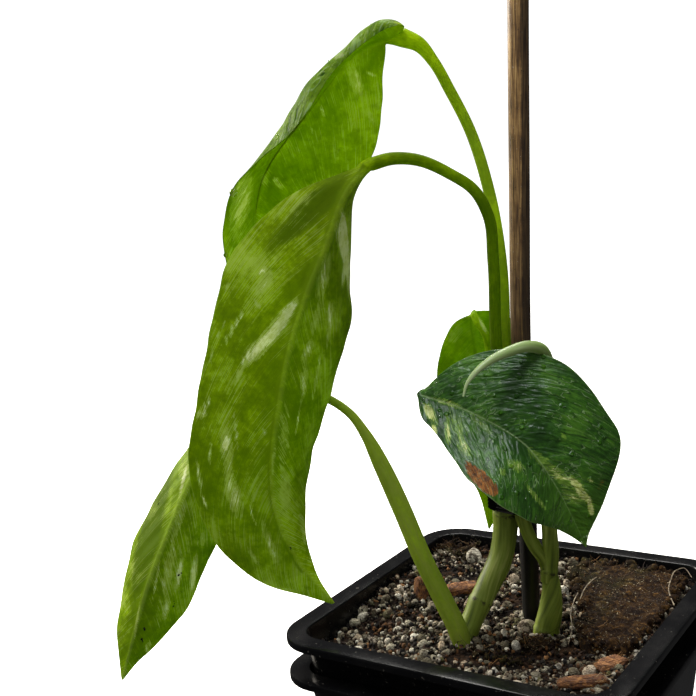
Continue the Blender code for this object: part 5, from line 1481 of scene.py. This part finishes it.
# Drops and specks: right, away, up, radius. Wet spots: leaf, beads, rows at the tip without any.
HANGING = ((-75.6, 5.6, 134.8, 1.5), (-80.2, 10.0, 115.8, 1.0))
WET_SPOTS = (("leaf_front", 46, 0), ("leaf_top", 40, ROWS // 2))
SPECKS = (
    (-110.3, 15.0, 36.3, 0.75), (-104.3, 5.1, 15.5, 0.95), (-104.5, 6.0, 9.7, 0.6),
    (-117.7, 3.1, -1.2, 0.8), (-118.7, 3.5, -5.3, 0.7), (-107.7, 5.2, 5.6, 0.5),
    (-67.0, -15.3, 29.0, 0.5),
)
spots, sizes = [q[:3] for q in HANGING], [q[3] for q in HANGING]
for name, count, dry_rows in WET_SPOTS:
    rings = grown[name]
    half = rings.shape[1] // 2
    first, last = len(rings) - ROWS, len(rings) - dry_rows
    picks = rng.integers(first, last, count), rng.integers(half + 6, 2 * half - 6, count)
    spots.extend(rings[picks])
    sizes.extend(rng.uniform(0.18, 0.5, count))
points, faces, numbers = grains(place(np.array(spots)), np.array(sizes), pebble(2), 0.0, 0.85)
# Clean water: clear, refracts at 1.333, bead surface perfectly smooth.
water, add = material("rain_water")
add("OutputMaterial",
    add("BsdfPrincipled", Base_Color="#f4fbf0", Roughness=0.03, IOR=1.333, Transmission_Weight=1.0))
drops = piece("water_drops", points, faces, water, smooth=80)
specks = np.repeat(np.array(SPECKS), 3, axis=0)
specks[:, :3] += rng.normal(0, 0.38, (len(specks), 3)) * (1, 0.3, 1)
sizes = specks[:, 3] * rng.uniform(0.35, 0.65, len(specks))
points, faces, numbers = grains(place(specks[:, :3]), sizes, pebble(2), 0.9, 0.5)
specks = piece("peat_specks", points, faces, bark_crumb, smooth=40, tone=0.3 * np.ones(len(points)))
for thing, name in ((drops, "leaf_top"), (specks, "leaf_low")):
    stand_for(thing, name)


# The new leaf.
# The youngest leaf, still rolled tight in a pale spear; the outer edge winds round it as a seam.

NEW_LEAF_ROUTE = (
    (12.0, -10.2, 46.4), (12.3, -12.5, 60), (12.3, -17, 72.9), (12.2, -20, 79.8), (9.8, -24, 84.9),
    (5.2, -28, 86.8), (-0.9, -32, 86.4), (-6.6, -35, 84.8), (-10.5, -37, 82.6),
    (-13.3, -38, 79.6), (-14.5, -38.5, 76.4),
)
NEW_LEAF_RADII = (1.7, 1.7, 1.8, 2.0, 1.9, 1.7, 1.4, 0.9, 0.25)


def rolled(length, turns):
    """The rolled edge stands out by its own thickness and falls back past the seam."""
    winding = (turns - 0.9 - length * 0.035) / (2 * math.pi) % 1
    return 0.16 * winding - 0.08


# Young blade: waxy, almost without green where it is rolled, greener toward the stalk.
young, add = material("new_leaf_waxy")
length = add("Attribute", attribute_name="length").outputs["Fac"]
around = add("Attribute", attribute_name="around").outputs["Fac"]
lie = add("CombineXYZ", add("Math MULTIPLY", around, 0.9), add("Math MULTIPLY", length, 0.06))
grain = add("TexNoise", lie, Scale=1.0, Detail=4.0)
stalk_to_tip = add("MapRange", length, 20.0, 75.0)
share = add("Math ADD", stalk_to_tip, grain)
pales = add("ValToRGB", add("Math MULTIPLY", share, 0.5),
            stops=[(0.2, "#566f22"), (0.4, "#728a44"), (0.62, "#8fa268"), (0.8, "#a9b88a")])
add("OutputMaterial",
    add("BsdfPrincipled", Base_Color=pales, Roughness=0.38, Subsurface_Weight=0.3,
        Subsurface_Radius=(0.8, 1.2, 0.4), Subsurface_Scale=0.001))
points, faces, length, around = stem(NEW_LEAF_ROUTE, NEW_LEAF_RADII, 150, 40, shape=rolled)
spear = piece("new_leaf_rolled", points, faces, young, smooth=50, length=length, around=around)
stand_for(spear, "new_leaf")
